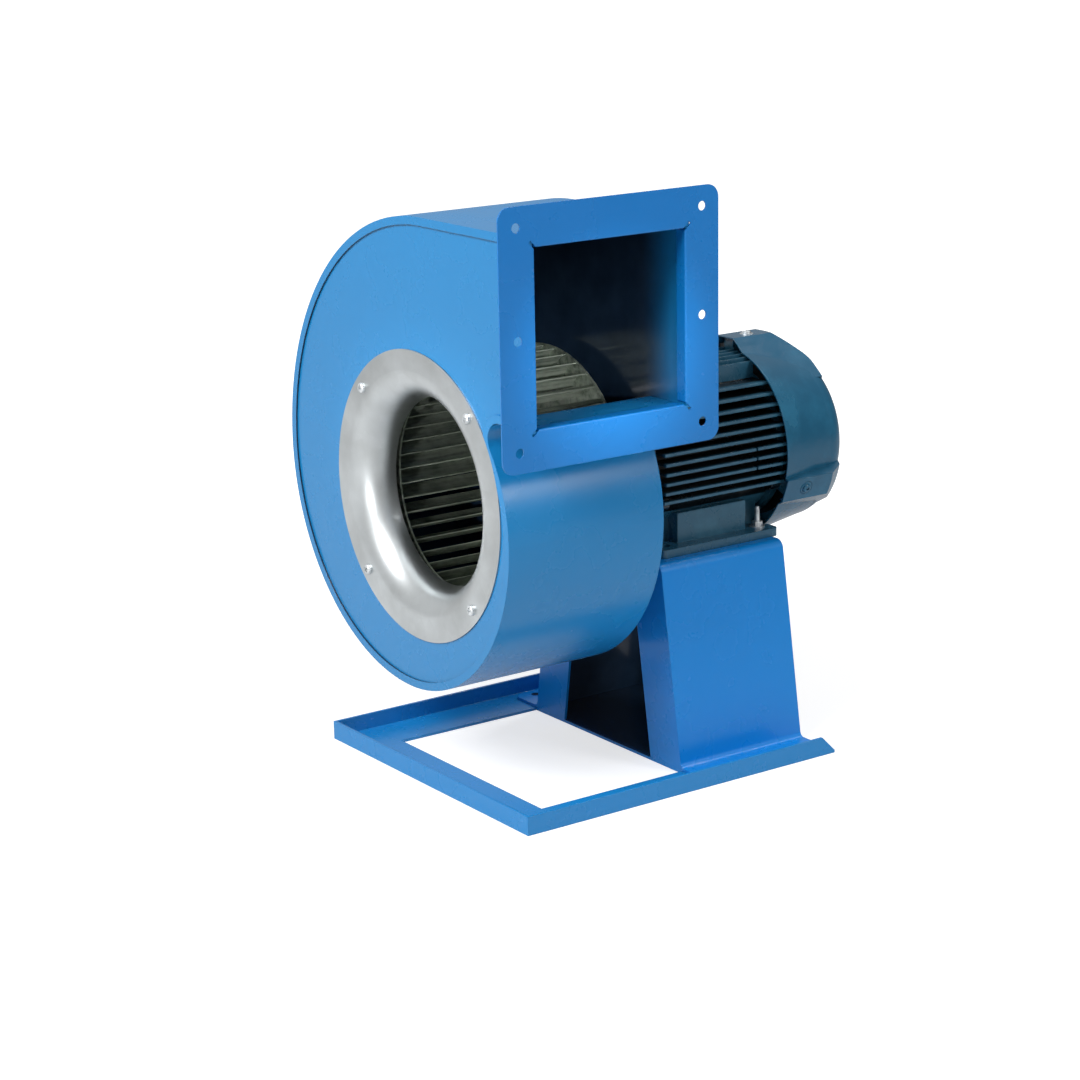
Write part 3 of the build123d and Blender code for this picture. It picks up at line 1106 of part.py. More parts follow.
with BuildPart() as pedestal:
    with BuildSketch(Plane.XZ.offset(-pedestal_front)):
        add(pedestal_face(0, 0, PEDESTAL_BEND))
        add(pedestal_face(wall_across, PEDESTAL_SHEET, PEDESTAL_BEND - PEDESTAL_SHEET),
            mode=Mode.SUBTRACT)
    extrude(amount=-PEDESTAL_LENGTH)
    for lip_front in (pedestal_front, -pedestal_front - PEDESTAL_SHEET):
        with BuildSketch(Plane.XZ.offset(-lip_front)):
            add(pedestal_face(0, 0, PEDESTAL_BEND))
            add(pedestal_face(lip_across, PEDESTAL_TOP_LIP, PEDESTAL_BEND), mode=Mode.SUBTRACT)
        extrude(amount=-PEDESTAL_SHEET)
    for side in (-1, 1):
        foot_start = side * (PEDESTAL_BOTTOM_WIDTH / 2 - PEDESTAL_SHEET) + PEDESTAL_OFFSET
        foot_end = side * PEDESTAL_FOOT_REACH
        with BuildSketch(Plane.XY.offset(BASE_SHEET)):
            with Locations(((foot_start + foot_end) / 2, 0)):
                Rectangle(abs(foot_end - foot_start), PEDESTAL_LENGTH)
        extrude(amount=PEDESTAL_SHEET)
    flange_top = BASE_SHEET + PEDESTAL_SHEET
    long_edges = pedestal.edges().filter_by(Axis.Y)
    top_edges = long_edges.filter_by_position(Axis.Z, flange_top - SEAT_GAP, flange_top + SEAT_GAP)
    bends = top_edges.filter_by_position(Axis.X, PEDESTAL_FOOT_BEND - PEDESTAL_FOOT_REACH,
                                         PEDESTAL_FOOT_REACH - PEDESTAL_FOOT_BEND)
    fillet(bends, PEDESTAL_FOOT_BEND)
    corners = pedestal.edges().filter_by(Axis.Z).group_by(Axis.X)
    fillet(corners[0] + corners[-1], PEDESTAL_FOOT_CORNER)
    with BuildSketch(Plane.XY.offset(BASE_SHEET)):
        with GridLocations(ANCHOR_SPACING_X, ANCHOR_SPACING_Y, 2, 2):
            Circle(ANCHOR_HOLE / 2)
    extrude(amount=PEDESTAL_SHEET, mode=Mode.SUBTRACT)
    with BuildSketch(Plane.XY.offset(PEDESTAL_HEIGHT)):
        with Locations(*FOOT_PLACES):
            Circle((FOOT_BOLT + HOLE_CLEARANCE) / 2)
    extrude(amount=-PEDESTAL_SHEET, mode=Mode.SUBTRACT)
    # Room in the rear lip for the heads of the foot bolts
    with BuildSketch(Plane.XY.offset(PEDESTAL_HEIGHT - PEDESTAL_SHEET)):
        with Locations(*FOOT_BOLT_PLACES):
            Circle(HEX_FACTOR * FOOT_BOLT / sqrt(3) + HOLE_CLEARANCE)
    extrude(amount=-(HEAD_FACTOR * FOOT_BOLT + HOLE_CLEARANCE), mode=Mode.SUBTRACT)
finish(pedestal, "pedestal")

# Base frame and base plate

frame_length = BASE_FRONT + BASE_REAR
frame_middle = (BASE_REAR - BASE_FRONT) / 2

with BuildPart() as base_frame:
    with BuildSketch():
        with Locations((0, frame_middle)):
            Rectangle(BASE_WIDTH, frame_length)
        with Locations((PEDESTAL_OFFSET, BASE_FRONT_LEG - BASE_FRONT)):
            Rectangle(BASE_OPENING_WIDTH, frame_length, align=(Align.CENTER, Align.MIN),
                      mode=Mode.SUBTRACT)
    extrude(amount=BASE_SHEET)
    with BuildSketch():
        with Locations((0, frame_middle)):
            Rectangle(BASE_WIDTH, frame_length)
        with Locations((0, BASE_SHEET - BASE_FRONT)):
            Rectangle(BASE_WIDTH - 2 * BASE_SHEET, frame_length, align=(Align.CENTER, Align.MIN),
                      mode=Mode.SUBTRACT)
    extrude(amount=BASE_LEG_HEIGHT)
    # The rear ends of the upright legs are cut off at 45 degrees
    rise = BASE_LEG_HEIGHT - BASE_SHEET
    with BuildSketch(Plane.YZ.offset(-BASE_WIDTH / 2)):
        with BuildLine():
            Polyline((BASE_REAR, BASE_SHEET), (BASE_REAR, BASE_LEG_HEIGHT),
                     (BASE_REAR - rise, BASE_LEG_HEIGHT), close=True)
        make_face()
    extrude(amount=BASE_WIDTH, mode=Mode.SUBTRACT)
    with BuildSketch():
        with GridLocations(ANCHOR_SPACING_X, ANCHOR_SPACING_Y, 2, 2):
            Circle(ANCHOR_HOLE / 2)
    extrude(amount=BASE_SHEET, mode=Mode.SUBTRACT)
finish(base_frame, "base_frame")

with BuildPart() as base_plate:
    with BuildSketch():
        with Locations((PEDESTAL_OFFSET, 0)):
            Rectangle(BASE_OPENING_WIDTH - 2 * SEAT_GAP, PEDESTAL_LENGTH)
    extrude(amount=BASE_SHEET)
finish(base_plate, "base_plate")
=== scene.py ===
# %% [markdown]
# # A centrifugal extractor fan
#
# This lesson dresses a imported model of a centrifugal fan: a volute casing of folded sheet,
# a spun inlet cone, a drum impeller and a finned motor on a folded pedestal. The packed
# solids already have the right shapes and sizes, so most of the work is in the finishes:
# powder coat, galvanised sheet, zinc plate and motor enamel. Small things that a designer
# leaves out of the solids, such as weld beads and bolt threads, are built here as meshes.
#
# Lengths are in metres, or in millimetres where a name or a comment says so. The shaft lies
# along Y, the inlet faces -Y and the discharge faces +X. The origin is on the floor, in the
# middle of the four anchor holes.

from math import cos, pi, radians, sin, sqrt

import bmesh
import bpy
from mathutils import Matrix, Vector


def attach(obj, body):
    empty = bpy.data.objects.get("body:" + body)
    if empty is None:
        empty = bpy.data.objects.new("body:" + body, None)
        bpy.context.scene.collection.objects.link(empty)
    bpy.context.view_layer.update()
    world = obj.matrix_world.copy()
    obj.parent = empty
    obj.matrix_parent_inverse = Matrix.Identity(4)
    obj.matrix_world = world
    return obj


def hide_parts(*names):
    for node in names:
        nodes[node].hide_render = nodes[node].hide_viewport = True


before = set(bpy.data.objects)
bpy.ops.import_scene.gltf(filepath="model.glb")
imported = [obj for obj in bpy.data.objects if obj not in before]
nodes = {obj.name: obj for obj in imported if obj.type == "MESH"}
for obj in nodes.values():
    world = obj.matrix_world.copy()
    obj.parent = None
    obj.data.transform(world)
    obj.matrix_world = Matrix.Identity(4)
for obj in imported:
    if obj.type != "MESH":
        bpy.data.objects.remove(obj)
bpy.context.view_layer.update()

# %% [markdown]
# ## The camera
#
# The photograph is taken from the right and a little above, with a long lens. The camera's
# place was solved beforehand from outlines measured in the picture, so that the rim of the
# inlet ring, the corners of the discharge flange and the base frame all fall where they do
# there. A camera could also be aimed with a Track To constraint, but a solved one keeps the
# small roll that a hand-held picture has.

# %% Camera
CAMERA_PLACE = Vector((2.2286, -1.7175, 0.9681))
CAMERA_AZIMUTH = radians(55.08)
CAMERA_ELEVATION = radians(15.04)
CAMERA_ROLL = radians(-1.06)
CAMERA_LENS_MM = 89.68
SENSOR_WIDTH_MM = 36.0

backward = Vector((sin(CAMERA_AZIMUTH) * cos(CAMERA_ELEVATION),
                   -cos(CAMERA_AZIMUTH) * cos(CAMERA_ELEVATION),
                   sin(CAMERA_ELEVATION)))
level_right = Vector((cos(CAMERA_AZIMUTH), sin(CAMERA_AZIMUTH), 0.0))
level_up = backward.cross(level_right)
right = cos(CAMERA_ROLL) * level_right + sin(CAMERA_ROLL) * level_up
up = cos(CAMERA_ROLL) * level_up - sin(CAMERA_ROLL) * level_right

lens = bpy.data.cameras.new("camera")
lens.lens = CAMERA_LENS_MM
lens.sensor_width = SENSOR_WIDTH_MM
lens.clip_end = 50.0
camera = bpy.data.objects.new("camera", lens)
camera.matrix_world = Matrix((right, up, backward)).transposed().to_4x4()
camera.location = CAMERA_PLACE
bpy.context.scene.collection.objects.link(camera)
bpy.context.scene.camera = camera
print("camera looks along", [round(-c, 3) for c in backward])

# %% [markdown]
# ## Small helpers
#
# Every finish below is a small network of shader nodes. One function adds a node, sets it
# and links it, so that each network reads from top to bottom. Colours are written as sRGB
# hex, the way a paint chart gives them, and turned into the linear values that the renderer
# works with. A noise gives values round 0.5. A Map Range node after it picks the window of
# them that shows, and says how much it changes.

# %% Helpers for finishes
MIX_FACTOR, MIX_FIRST, MIX_SECOND, MIX_RESULT = 0, 6, 7, 2      # a Mix node's colour sockets
MIX_NUMBER, MIX_NUMBER_TO = 2, 3        # and its number sockets
BEVEL_SAMPLES = 4


def linear(hex_colour):
    """An sRGB hex colour as linear red, green, blue and alpha."""
    channels = []
    for start in (1, 3, 5):
        value = int(hex_colour[start:start + 2], 16) / 255
        channels.append(value / 12.92 if value <= 0.04045 else ((value + 0.055) / 1.055) ** 2.4)
    return (*channels, 1.0)


def add_node(tree, kind, inputs=None, **settings):
    """Adds a node. An input is given a number or a colour, or the output that feeds it."""
    node = tree.nodes.new(kind)
    for name, value in settings.items():
        setattr(node, name, value)
    for name, value in (inputs or {}).items():
        if isinstance(value, bpy.types.NodeSocket):
            tree.links.new(value, node.inputs[name])
        else:
            node.inputs[name].default_value = value
    return node


def new_finish(name):
    """A material with an empty network, and the place of each point on the fan in metres."""
    finish = bpy.data.materials.new(name)
    finish.use_nodes = True
    finish.node_tree.nodes.clear()
    place = add_node(finish.node_tree, "ShaderNodeTexCoord").outputs["Object"]
    return finish, finish.node_tree, place


def close_finish(tree, shader):
    """Ends a network in the material's output."""
    add_node(tree, "ShaderNodeOutputMaterial", {"Surface": shader.outputs[0]})


def waves_per_metre(millimetres):
    """The scale of a pattern whose repeat is that many millimetres."""
    return 1000.0 / millimetres


print("middle grey #808080 is", round(linear("#808080")[0], 3), "in linear light")

# %% [markdown]
# ## Powder-coated sheet steel
#
# The casing, flange, pedestal and base frame are folded mild steel, sprayed with polyester
# powder and baked. The powder melts into a thick, glossy skin with the faint ripple of orange
# peel. It pulls thin at cut edges, which then catch a line of light. The ripple could be
# displaced geometry, but it is only some micrometres deep, so a fine noise used as bump does
# as well. The colour drifts between two near tones, and a bevel node rounds the sheet's
# edges, which are too small for geometry.

# %% Powder coat
ORANGE_PEEL_MM = 4.0        # real ripple is 1 to 2 mm, drawn coarser so that it shows
ORANGE_PEEL_DEPTH = 0.000008
COATED_EDGE_RADIUS = 0.0009
SMEAR_MM = 45.0
SMEAR_GLOSS = 0.02          # how far a smear moves the roughness
TONE_MM = 200.0


def coated_skin(tree, place, colour, roughness):
    """The shader of glossy powder coat with its ripple, its smears and its rounded edges."""
    peel = add_node(tree, "ShaderNodeTexNoise",
                    {"Vector": place, "Scale": waves_per_metre(ORANGE_PEEL_MM), "Detail": 1.0})
    smear = add_node(tree, "ShaderNodeTexNoise",
                     {"Vector": place, "Scale": waves_per_metre(SMEAR_MM), "Detail": 4.0})
    gloss = add_node(tree, "ShaderNodeMapRange",
                     {"Value": smear.outputs["Fac"], "From Min": 0.3, "From Max": 0.7,
                      "To Min": roughness - SMEAR_GLOSS, "To Max": roughness + SMEAR_GLOSS})
    edge = add_node(tree, "ShaderNodeBevel", {"Radius": COATED_EDGE_RADIUS}, samples=BEVEL_SAMPLES)
    ripple = add_node(tree, "ShaderNodeBump",
                      {"Height": peel.outputs["Fac"], "Distance": ORANGE_PEEL_DEPTH,
                       "Strength": 0.5, "Normal": edge.outputs["Normal"]})
    return add_node(tree, "ShaderNodeBsdfPrincipled",
                    {"Base Color": colour, "Roughness": gloss.outputs["Result"],
                     "IOR": 1.5, "Normal": ripple.outputs["Normal"]})


def two_tones(tree, place, colour, shade, drift_mm=TONE_MM, detail=2.0):
    """A colour that drifts into its shade and back."""
    drift = add_node(tree, "ShaderNodeTexNoise",
                     {"Vector": place, "Scale": waves_per_metre(drift_mm), "Detail": detail})
    return add_node(tree, "ShaderNodeMix", {MIX_FACTOR: drift.outputs["Fac"],
                                            MIX_FIRST: linear(colour),
                                            MIX_SECOND: linear(shade)},
                    data_type="RGBA").outputs[MIX_RESULT]


def powder_coat(name, colour, shade, roughness):
    """Glossy powder coat on a part that is coated all round."""
    finish, tree, place = new_finish(name)
    close_finish(tree, coated_skin(tree, place, two_tones(tree, place, colour, shade), roughness))
    return finish


flange_blue = powder_coat("blue_powder_coat_on_flange", "#0F76C2", "#0D72BC", 0.27)
frame_blue = powder_coat("blue_powder_coat_on_base_frame", "#1A83C6", "#167EC0", 0.27)
print("finishes:", flange_blue.name, frame_blue.name)

# %% [markdown]
# ## Powder coat on hollow parts
#
# The inward faces deep in the casing, and in the pedestal with its base plate, are painted a
# dark blue-grey in two tones that drift: a painted shade where little light gets in. It fades
# in from about a hand's breadth inside an opening and is glossier than the coat. The inner
# faces could be picked by hand and given a second material. Here a face's normal and place say
# whether it looks inwards, so one material serves a sheet on both sides, however its faces are
# numbered.

# %% Powder coat, dark inside
# Painted shade for the deep inward faces, in two drifting tones, and its roughness
PAINTED_SHADE_INSIDE, PAINTED_SHADE_INSIDE_PALER = "#122236", "#2A3E54"
PAINTED_SHADE_INSIDE_ROUGHNESS = 0.14
SHADE_DRIFT_MM = 30.0


def coat_with_painted_shade_inside(name, colour, shade, roughness, middle, axis, bright_at, dark_at):
    """Powder coat whose inward faces fade to a painted shade between two places along an axis."""
    finish, tree, place = new_finish(name)
    painted_shade = two_tones(tree, place, PAINTED_SHADE_INSIDE, PAINTED_SHADE_INSIDE_PALER, SHADE_DRIFT_MM, detail=6.0)
    normal = add_node(tree, "ShaderNodeNewGeometry").outputs["True Normal"]
    outward = add_node(tree, "ShaderNodeVectorMath", {0: place, 1: middle}, operation="SUBTRACT")
    facing = add_node(tree, "ShaderNodeVectorMath", {0: outward.outputs[0], 1: normal},
                      operation="DOT_PRODUCT")
    inner = add_node(tree, "ShaderNodeMath", {0: facing.outputs["Value"], 1: 0.0},
                     operation="LESS_THAN")
    along = add_node(tree, "ShaderNodeSeparateXYZ", {0: place})
    depth = add_node(tree, "ShaderNodeMapRange",
                     {"Value": along.outputs[axis], "From Min": bright_at, "From Max": dark_at},
                     interpolation_type="SMOOTHSTEP")
    # The share of painted shade: inward faces only, and more of it deeper in
    painted_shade_share = add_node(tree, "ShaderNodeMath", {0: inner.outputs[0], 1: depth.outputs["Result"]},
                    operation="MULTIPLY")
    skin = add_node(tree, "ShaderNodeMix", {MIX_FACTOR: painted_shade_share.outputs[0],
                                            MIX_FIRST: two_tones(tree, place, colour, shade),
                                            MIX_SECOND: painted_shade},
                    data_type="RGBA")
    shader = coated_skin(tree, place, skin.outputs[MIX_RESULT], roughness)
    coat_gloss = shader.inputs["Roughness"].links[0].from_socket
    sheen = add_node(tree, "ShaderNodeMix",
                     {MIX_FACTOR: painted_shade_share.outputs[0], MIX_NUMBER: coat_gloss,
                      MIX_NUMBER_TO: PAINTED_SHADE_INSIDE_ROUGHNESS})
    tree.links.new(sheen.outputs[0], shader.inputs["Roughness"])
    close_finish(tree, shader)
    return finish


# Inward faces fade to painted shade deeper inside the casing, the pedestal and its base plate
casing_blue = coat_with_painted_shade_inside("blue_powder_coat_on_casing", "#167CB8", "#1478B2", 0.27,
                          middle=(0.0, -0.2195, 0.3085),
                          axis="X", bright_at=0.205, dark_at=0.135)
pedestal_blue = coat_with_painted_shade_inside("blue_powder_coat_on_pedestal", "#0986D8", "#0881D2", 0.27,
                            middle=(0.005, 0.0, 0.0),
                            axis="Y", bright_at=-0.090, dark_at=-0.055)
plate_blue = coat_with_painted_shade_inside("blue_powder_coat_on_base_plate", "#0986D8", "#0881D2", 0.27,
                         middle=(0.005, 0.0, 0.10),
                         axis="Y", bright_at=-0.110, dark_at=-0.070)
print("finishes:", casing_blue.name, pedestal_blue.name, plate_blue.name)

# %% [markdown]
# ## Spun galvanised sheet
#
# The inlet cone starts as a flat galvanised disc and is pressed over a former while it
# turns. That stretches the zinc into fine rings round the axis, on top of the faint spangle
# of the zinc crystals. Anisotropic gloss alone would streak the light, but show no rings. So
# they are a noise that is squeezed along the radius and stretched round the axis: its
# coordinates are the radius and the angle in place of X and Z.

# %% Spun galvanised cone
SHAFT_HEIGHT = 0.3085
SPIN_LINE_MM = 2.5
SPIN_LINE_DEPTH = 0.00006
SPIN_STRETCH = 0.012        # metres of pattern for each radian round the shaft
SPANGLE_MM = 14.0
SPANGLE_SHARE = 0.06        # how much a crystal shifts the cloudy tint
CLOUD_MM = 60.0


def laid_round_shaft(tree, place, stretch):
    """Coordinates of a pattern drawn out round the shaft: angle, distance and place along."""
    part = add_node(tree, "ShaderNodeSeparateXYZ", {0: place})
    height = add_node(tree, "ShaderNodeMath", {0: part.outputs["Z"], 1: SHAFT_HEIGHT},
                      operation="SUBTRACT")
    flat = add_node(tree, "ShaderNodeCombineXYZ", {"X": part.outputs["X"], "Y": height.outputs[0]})
    reach = add_node(tree, "ShaderNodeVectorMath", {0: flat.outputs[0]}, operation="LENGTH")
    angle = add_node(tree, "ShaderNodeMath", {0: height.outputs[0], 1: part.outputs["X"]},
                     operation="ARCTAN2")
    slow_angle = add_node(tree, "ShaderNodeMath", {0: angle.outputs[0], 1: stretch},
                          operation="MULTIPLY")
    lay = add_node(tree, "ShaderNodeCombineXYZ", {"X": slow_angle.outputs[0],
                                                  "Y": reach.outputs["Value"],
                                                  "Z": part.outputs["Y"]})
    return lay.outputs[0]


def spun_zinc(name, bright, dull, roughness):
    """Galvanised sheet that was spun round the shaft."""
    finish, tree, place = new_finish(name)
    rings = laid_round_shaft(tree, place, SPIN_STRETCH)
    lines = add_node(tree, "ShaderNodeTexNoise",
                     {"Vector": rings, "Scale": waves_per_metre(SPIN_LINE_MM),
                      "Detail": 3.0, "Roughness": 0.6})
    spangle = add_node(tree, "ShaderNodeTexVoronoi",
                       {"Vector": place, "Scale": waves_per_metre(SPANGLE_MM)})
    cloud = add_node(tree, "ShaderNodeTexNoise",
                     {"Vector": place, "Scale": waves_per_metre(CLOUD_MM), "Detail": 5.0})
    crystal = add_node(tree, "ShaderNodeSeparateColor", {0: spangle.outputs["Color"]})
    blotch = add_node(tree, "ShaderNodeMath",
                      {0: crystal.outputs[0], 1: SPANGLE_SHARE, 2: cloud.outputs["Fac"]},
                      operation="MULTIPLY_ADD")
    tint = add_node(tree, "ShaderNodeMapRange",
                    {"Value": blotch.outputs[0], "From Min": 0.35, "From Max": 0.7})
    colour = add_node(tree, "ShaderNodeMix", {MIX_FACTOR: tint.outputs["Result"],
                                              MIX_FIRST: linear(dull), MIX_SECOND: linear(bright)},
                      data_type="RGBA")
    gloss = add_node(tree, "ShaderNodeMapRange",
                     {"Value": blotch.outputs[0], "From Min": 0.35, "From Max": 0.7,
                      "To Min": roughness + 0.05, "To Max": roughness - 0.05})
    scores = add_node(tree, "ShaderNodeBump",
                      {"Height": lines.outputs["Fac"], "Distance": SPIN_LINE_DEPTH,
                       "Strength": 0.5})
    metal = add_node(tree, "ShaderNodeBsdfPrincipled",
                     {"Base Color": colour.outputs[MIX_RESULT], "Metallic": 1.0,
                      "Roughness": gloss.outputs["Result"], "Normal": scores.outputs["Normal"]})
    close_finish(tree, metal)
    return finish


cone_zinc = spun_zinc("spun_galvanised_sheet", "#C4C9CB", "#AEB2B3", 0.34)
print("finish:", cone_zinc.name)

# %% [markdown]
# ## Rolled galvanised sheet
#
# The impeller's blades and rings are cut from plain galvanised strip. Nobody polishes it:
# it is greyer than the cone, with streaks along the strip and a film of dust and oil. Those
# could be painted. A noise that is drawn out along the strip has no seams, and it stays at
# its real size on each of the blades.

# %% Rolled galvanised strip
STREAK_MM = 5.0
STREAK_DEPTH = 0.0001
STREAK_SQUEEZE = (1.0, 0.08, 1.0)       # draws the streaks out along Y
FILM_MM = 40.0


def rolled_zinc(name, bright, dirt, roughness):
    """Galvanised strip with streaks along Y, the length of the blades."""
    finish, tree, place = new_finish(name)
    stretch = add_node(tree, "ShaderNodeMapping", {"Vector": place, "Scale": STREAK_SQUEEZE})
    streak = add_node(tree, "ShaderNodeTexNoise",
                      {"Vector": stretch.outputs[0], "Scale": waves_per_metre(STREAK_MM),
                       "Detail": 4.0})
    film = add_node(tree, "ShaderNodeTexNoise",
                    {"Vector": place, "Scale": waves_per_metre(FILM_MM), "Detail": 6.0,
                     "Roughness": 0.65})
    grime = add_node(tree, "ShaderNodeMath", {0: streak.outputs["Fac"], 1: film.outputs["Fac"]},
                     operation="ADD")
    cover = add_node(tree, "ShaderNodeMapRange",
                     {"Value": grime.outputs[0], "From Min": 0.8, "From Max": 1.25})
    colour = add_node(tree, "ShaderNodeMix", {MIX_FACTOR: cover.outputs["Result"],
                                              MIX_FIRST: linear(bright), MIX_SECOND: linear(dirt)},
                      data_type="RGBA")
    gloss = add_node(tree, "ShaderNodeMapRange",
                     {"Value": cover.outputs["Result"],
                      "To Min": roughness, "To Max": roughness + 0.2})
    scratches = add_node(tree, "ShaderNodeBump",
                         {"Height": streak.outputs["Fac"], "Distance": STREAK_DEPTH,
                          "Strength": 0.3})
    metal = add_node(tree, "ShaderNodeBsdfPrincipled",
                     {"Base Color": colour.outputs[MIX_RESULT], "Metallic": 0.7,
                      "Roughness": gloss.outputs["Result"], "Normal": scratches.outputs["Normal"]})
    close_finish(tree, metal)
    return finish


blade_zinc = rolled_zinc("rolled_galvanised_strip", "#9FA89B", "#5F685F", 0.33)
print("finish:", blade_zinc.name)

# %% [markdown]
# ## Zinc-plated and ground steel
#
# The screws, nuts and washers are electroplated with a thin bright zinc layer that has a
# slightly bluish, silky shine and small dull marks from handling. The ground shaft and
# bearings, the die-cast hub, the stacked core and the brass studs are other metals with
# marks of other sizes. Each could have a network of its own, but one function with five sets
# of values is easier to keep in step.

# %% Plated and ground steel
SMALL_EDGE_RADIUS = 0.0003


def marked_metal(name, bright, worn, roughness, mark_mm):
    """Bright metal with dull marks of the given size."""
    finish, tree, place = new_finish(name)
    marks = add_node(tree, "ShaderNodeTexNoise",
                     {"Vector": place, "Scale": waves_per_metre(mark_mm), "Detail": 5.0})
    wear = add_node(tree, "ShaderNodeMapRange",
                    {"Value": marks.outputs["Fac"], "From Min": 0.45, "From Max": 0.65})
    colour = add_node(tree, "ShaderNodeMix", {MIX_FACTOR: wear.outputs["Result"],
                                              MIX_FIRST: linear(bright), MIX_SECOND: linear(worn)},
                      data_type="RGBA")
    gloss = add_node(tree, "ShaderNodeMapRange",
                     {"Value": wear.outputs["Result"],
                      "To Min": roughness, "To Max": roughness + 0.15})
    edge = add_node(tree, "ShaderNodeBevel", {"Radius": SMALL_EDGE_RADIUS}, samples=BEVEL_SAMPLES)
    metal = add_node(tree, "ShaderNodeBsdfPrincipled",
                     {"Base Color": colour.outputs[MIX_RESULT], "Metallic": 0.85,
                      "Roughness": gloss.outputs["Result"], "Normal": edge.outputs["Normal"]})
    close_finish(tree, metal)
    return finish


zinc_plate = marked_metal("zinc_plated_steel", "#E4E8EA", "#B4B9BB", 0.30, mark_mm=9.0)
ground_steel = marked_metal("ground_steel", "#C3C6C8", "#A2A6A8", 0.16, mark_mm=9.0)
cast_hub = marked_metal("die_cast_aluminium", "#B9BABA", "#8F9191", 0.42, mark_mm=6.0)
laminations = marked_metal("stacked_core_steel", "#7D7F82", "#55575A", 0.45, mark_mm=3.0)
terminal_brass = marked_metal("turned_brass", "#C9A24B", "#94752F", 0.28, mark_mm=4.0)
print("finishes:", zinc_plate.name, ground_steel.name, cast_hub.name, laminations.name)

# %% [markdown]
# ## Motor enamel
#
# The motor is sprayed in a dark blue-green air-drying enamel. On the sand-cast frame it is
# thin and shows the grain of the casting. On the pressed cowl it is thicker and glossier
# and has soft dents and runs, and patches are rubbed a little lighter by hands and boxes.
# The gaps between the side fins are painted near-black, a painted shade where light hardly
# gets in. Faces there could be picked one by one. Their distance from the shaft finds them
# all at once, and the dark ends just below the fins' tips.

# %% Enamel on castings and on the cowl
# Painted shade, near-black, for the gaps between the side fins
PAINTED_SHADE_IN_FIN_GAPS = "#04070A"
FIN_ROOT_REACH, FIN_TIP_REACH = 0.0935, 0.0975      # from the shaft
FIN_BAND_MIDDLE, FIN_BAND_HALF = SHAFT_HEIGHT + 0.0145, 0.0615      # heights of the side fins
RUB_MM = 55.0


def painted_shade_between_fins(tree, place, paint_colour):
    """The paint's colour, with a painted shade below the tips of the side fins."""
    from_axis = add_node(tree, "ShaderNodeVectorMath", {0: place, 1: (0.0, 0.0, SHAFT_HEIGHT)},
                         operation="SUBTRACT")
    across = add_node(tree, "ShaderNodeVectorMath", {0: from_axis.outputs[0], 1: (1.0, 0.0, 1.0)},
                      operation="MULTIPLY")
    reach = add_node(tree, "ShaderNodeVectorMath", {0: across.outputs[0]}, operation="LENGTH")
    deep = add_node(tree, "ShaderNodeMapRange",
                    {"Value": reach.outputs["Value"], "From Min": FIN_ROOT_REACH,
                     "From Max": FIN_TIP_REACH, "To Min": 1.0, "To Max": 0.0})
    height = add_node(tree, "ShaderNodeSeparateXYZ", {0: place})
    band = add_node(tree, "ShaderNodeMath",
                    {0: height.outputs["Z"], 1: FIN_BAND_MIDDLE, 2: FIN_BAND_HALF},
                    operation="COMPARE")
    fin_gap_shade = add_node(tree, "ShaderNodeMath", {0: band.outputs[0], 1: deep.outputs["Result"]},
                    operation="MULTIPLY")
    return add_node(tree, "ShaderNodeMix", {MIX_FACTOR: fin_gap_shade.outputs[0],
                                            MIX_FIRST: paint_colour,
                                            MIX_SECOND: linear(PAINTED_SHADE_IN_FIN_GAPS)},
                    data_type="RGBA").outputs[MIX_RESULT]


def enamel(name, colour, rubbed, roughness, grain_mm, grain_depth, edge_radius, shaded_fin_gaps=False):
    """Sprayed enamel over a casting or a pressing, rubbed lighter in patches."""
    finish, tree, place = new_finish(name)
    grain = add_node(tree, "ShaderNodeTexNoise",
                     {"Vector": place, "Scale": waves_per_metre(grain_mm), "Detail": 3.0})
    patch = add_node(tree, "ShaderNodeTexNoise",
                     {"Vector": place, "Scale": waves_per_metre(RUB_MM), "Detail": 5.0,
                      "Roughness": 0.6})
    worn = add_node(tree, "ShaderNodeMapRange",
                    {"Value": patch.outputs["Fac"], "From Min": 0.5, "From Max": 0.8})
    tint = add_node(tree, "ShaderNodeMix", {MIX_FACTOR: worn.outputs["Result"],
                                            MIX_FIRST: linear(colour), MIX_SECOND: linear(rubbed)},
                    data_type="RGBA").outputs[MIX_RESULT]
    # Painted shade in the gaps between the side fins
    if shaded_fin_gaps:
        tint = painted_shade_between_fins(tree, place, tint)
    gloss = add_node(tree, "ShaderNodeMapRange",
                     {"Value": patch.outputs["Fac"], "From Min": 0.35, "From Max": 0.7,
                      "To Min": roughness - 0.05, "To Max": roughness + 0.08})
    edge = add_node(tree, "ShaderNodeBevel", {"Radius": edge_radius}, samples=BEVEL_SAMPLES)
    cast = add_node(tree, "ShaderNodeBump",
                    {"Height": grain.outputs["Fac"], "Distance": grain_depth, "Strength": 0.7,
                     "Normal": edge.outputs["Normal"]})
    paint = add_node(tree, "ShaderNodeBsdfPrincipled",
                     {"Base Color": tint, "Roughness": gloss.outputs["Result"],
                      "IOR": 1.5, "Normal": cast.outputs["Normal"]})
    close_finish(tree, paint)
    return finish


cast_enamel = enamel("enamel_on_casting", "#1A4354", "#2F6075", 0.30,
                     grain_mm=3.0, grain_depth=0.00015, edge_radius=0.0012)
# The finned housing carries painted shade between its fins
fin_enamel = enamel("enamel_on_finned_housing", "#25546B", "#3A7088", 0.28,
                    grain_mm=3.0, grain_depth=0.00012, edge_radius=0.0014, shaded_fin_gaps=True)
cowl_enamel = enamel("enamel_on_pressed_sheet", "#185573", "#236A8A", 0.21,
                     grain_mm=24.0, grain_depth=0.0011, edge_radius=0.0010)
print("finishes:", cast_enamel.name, fin_enamel.name, cowl_enamel.name)

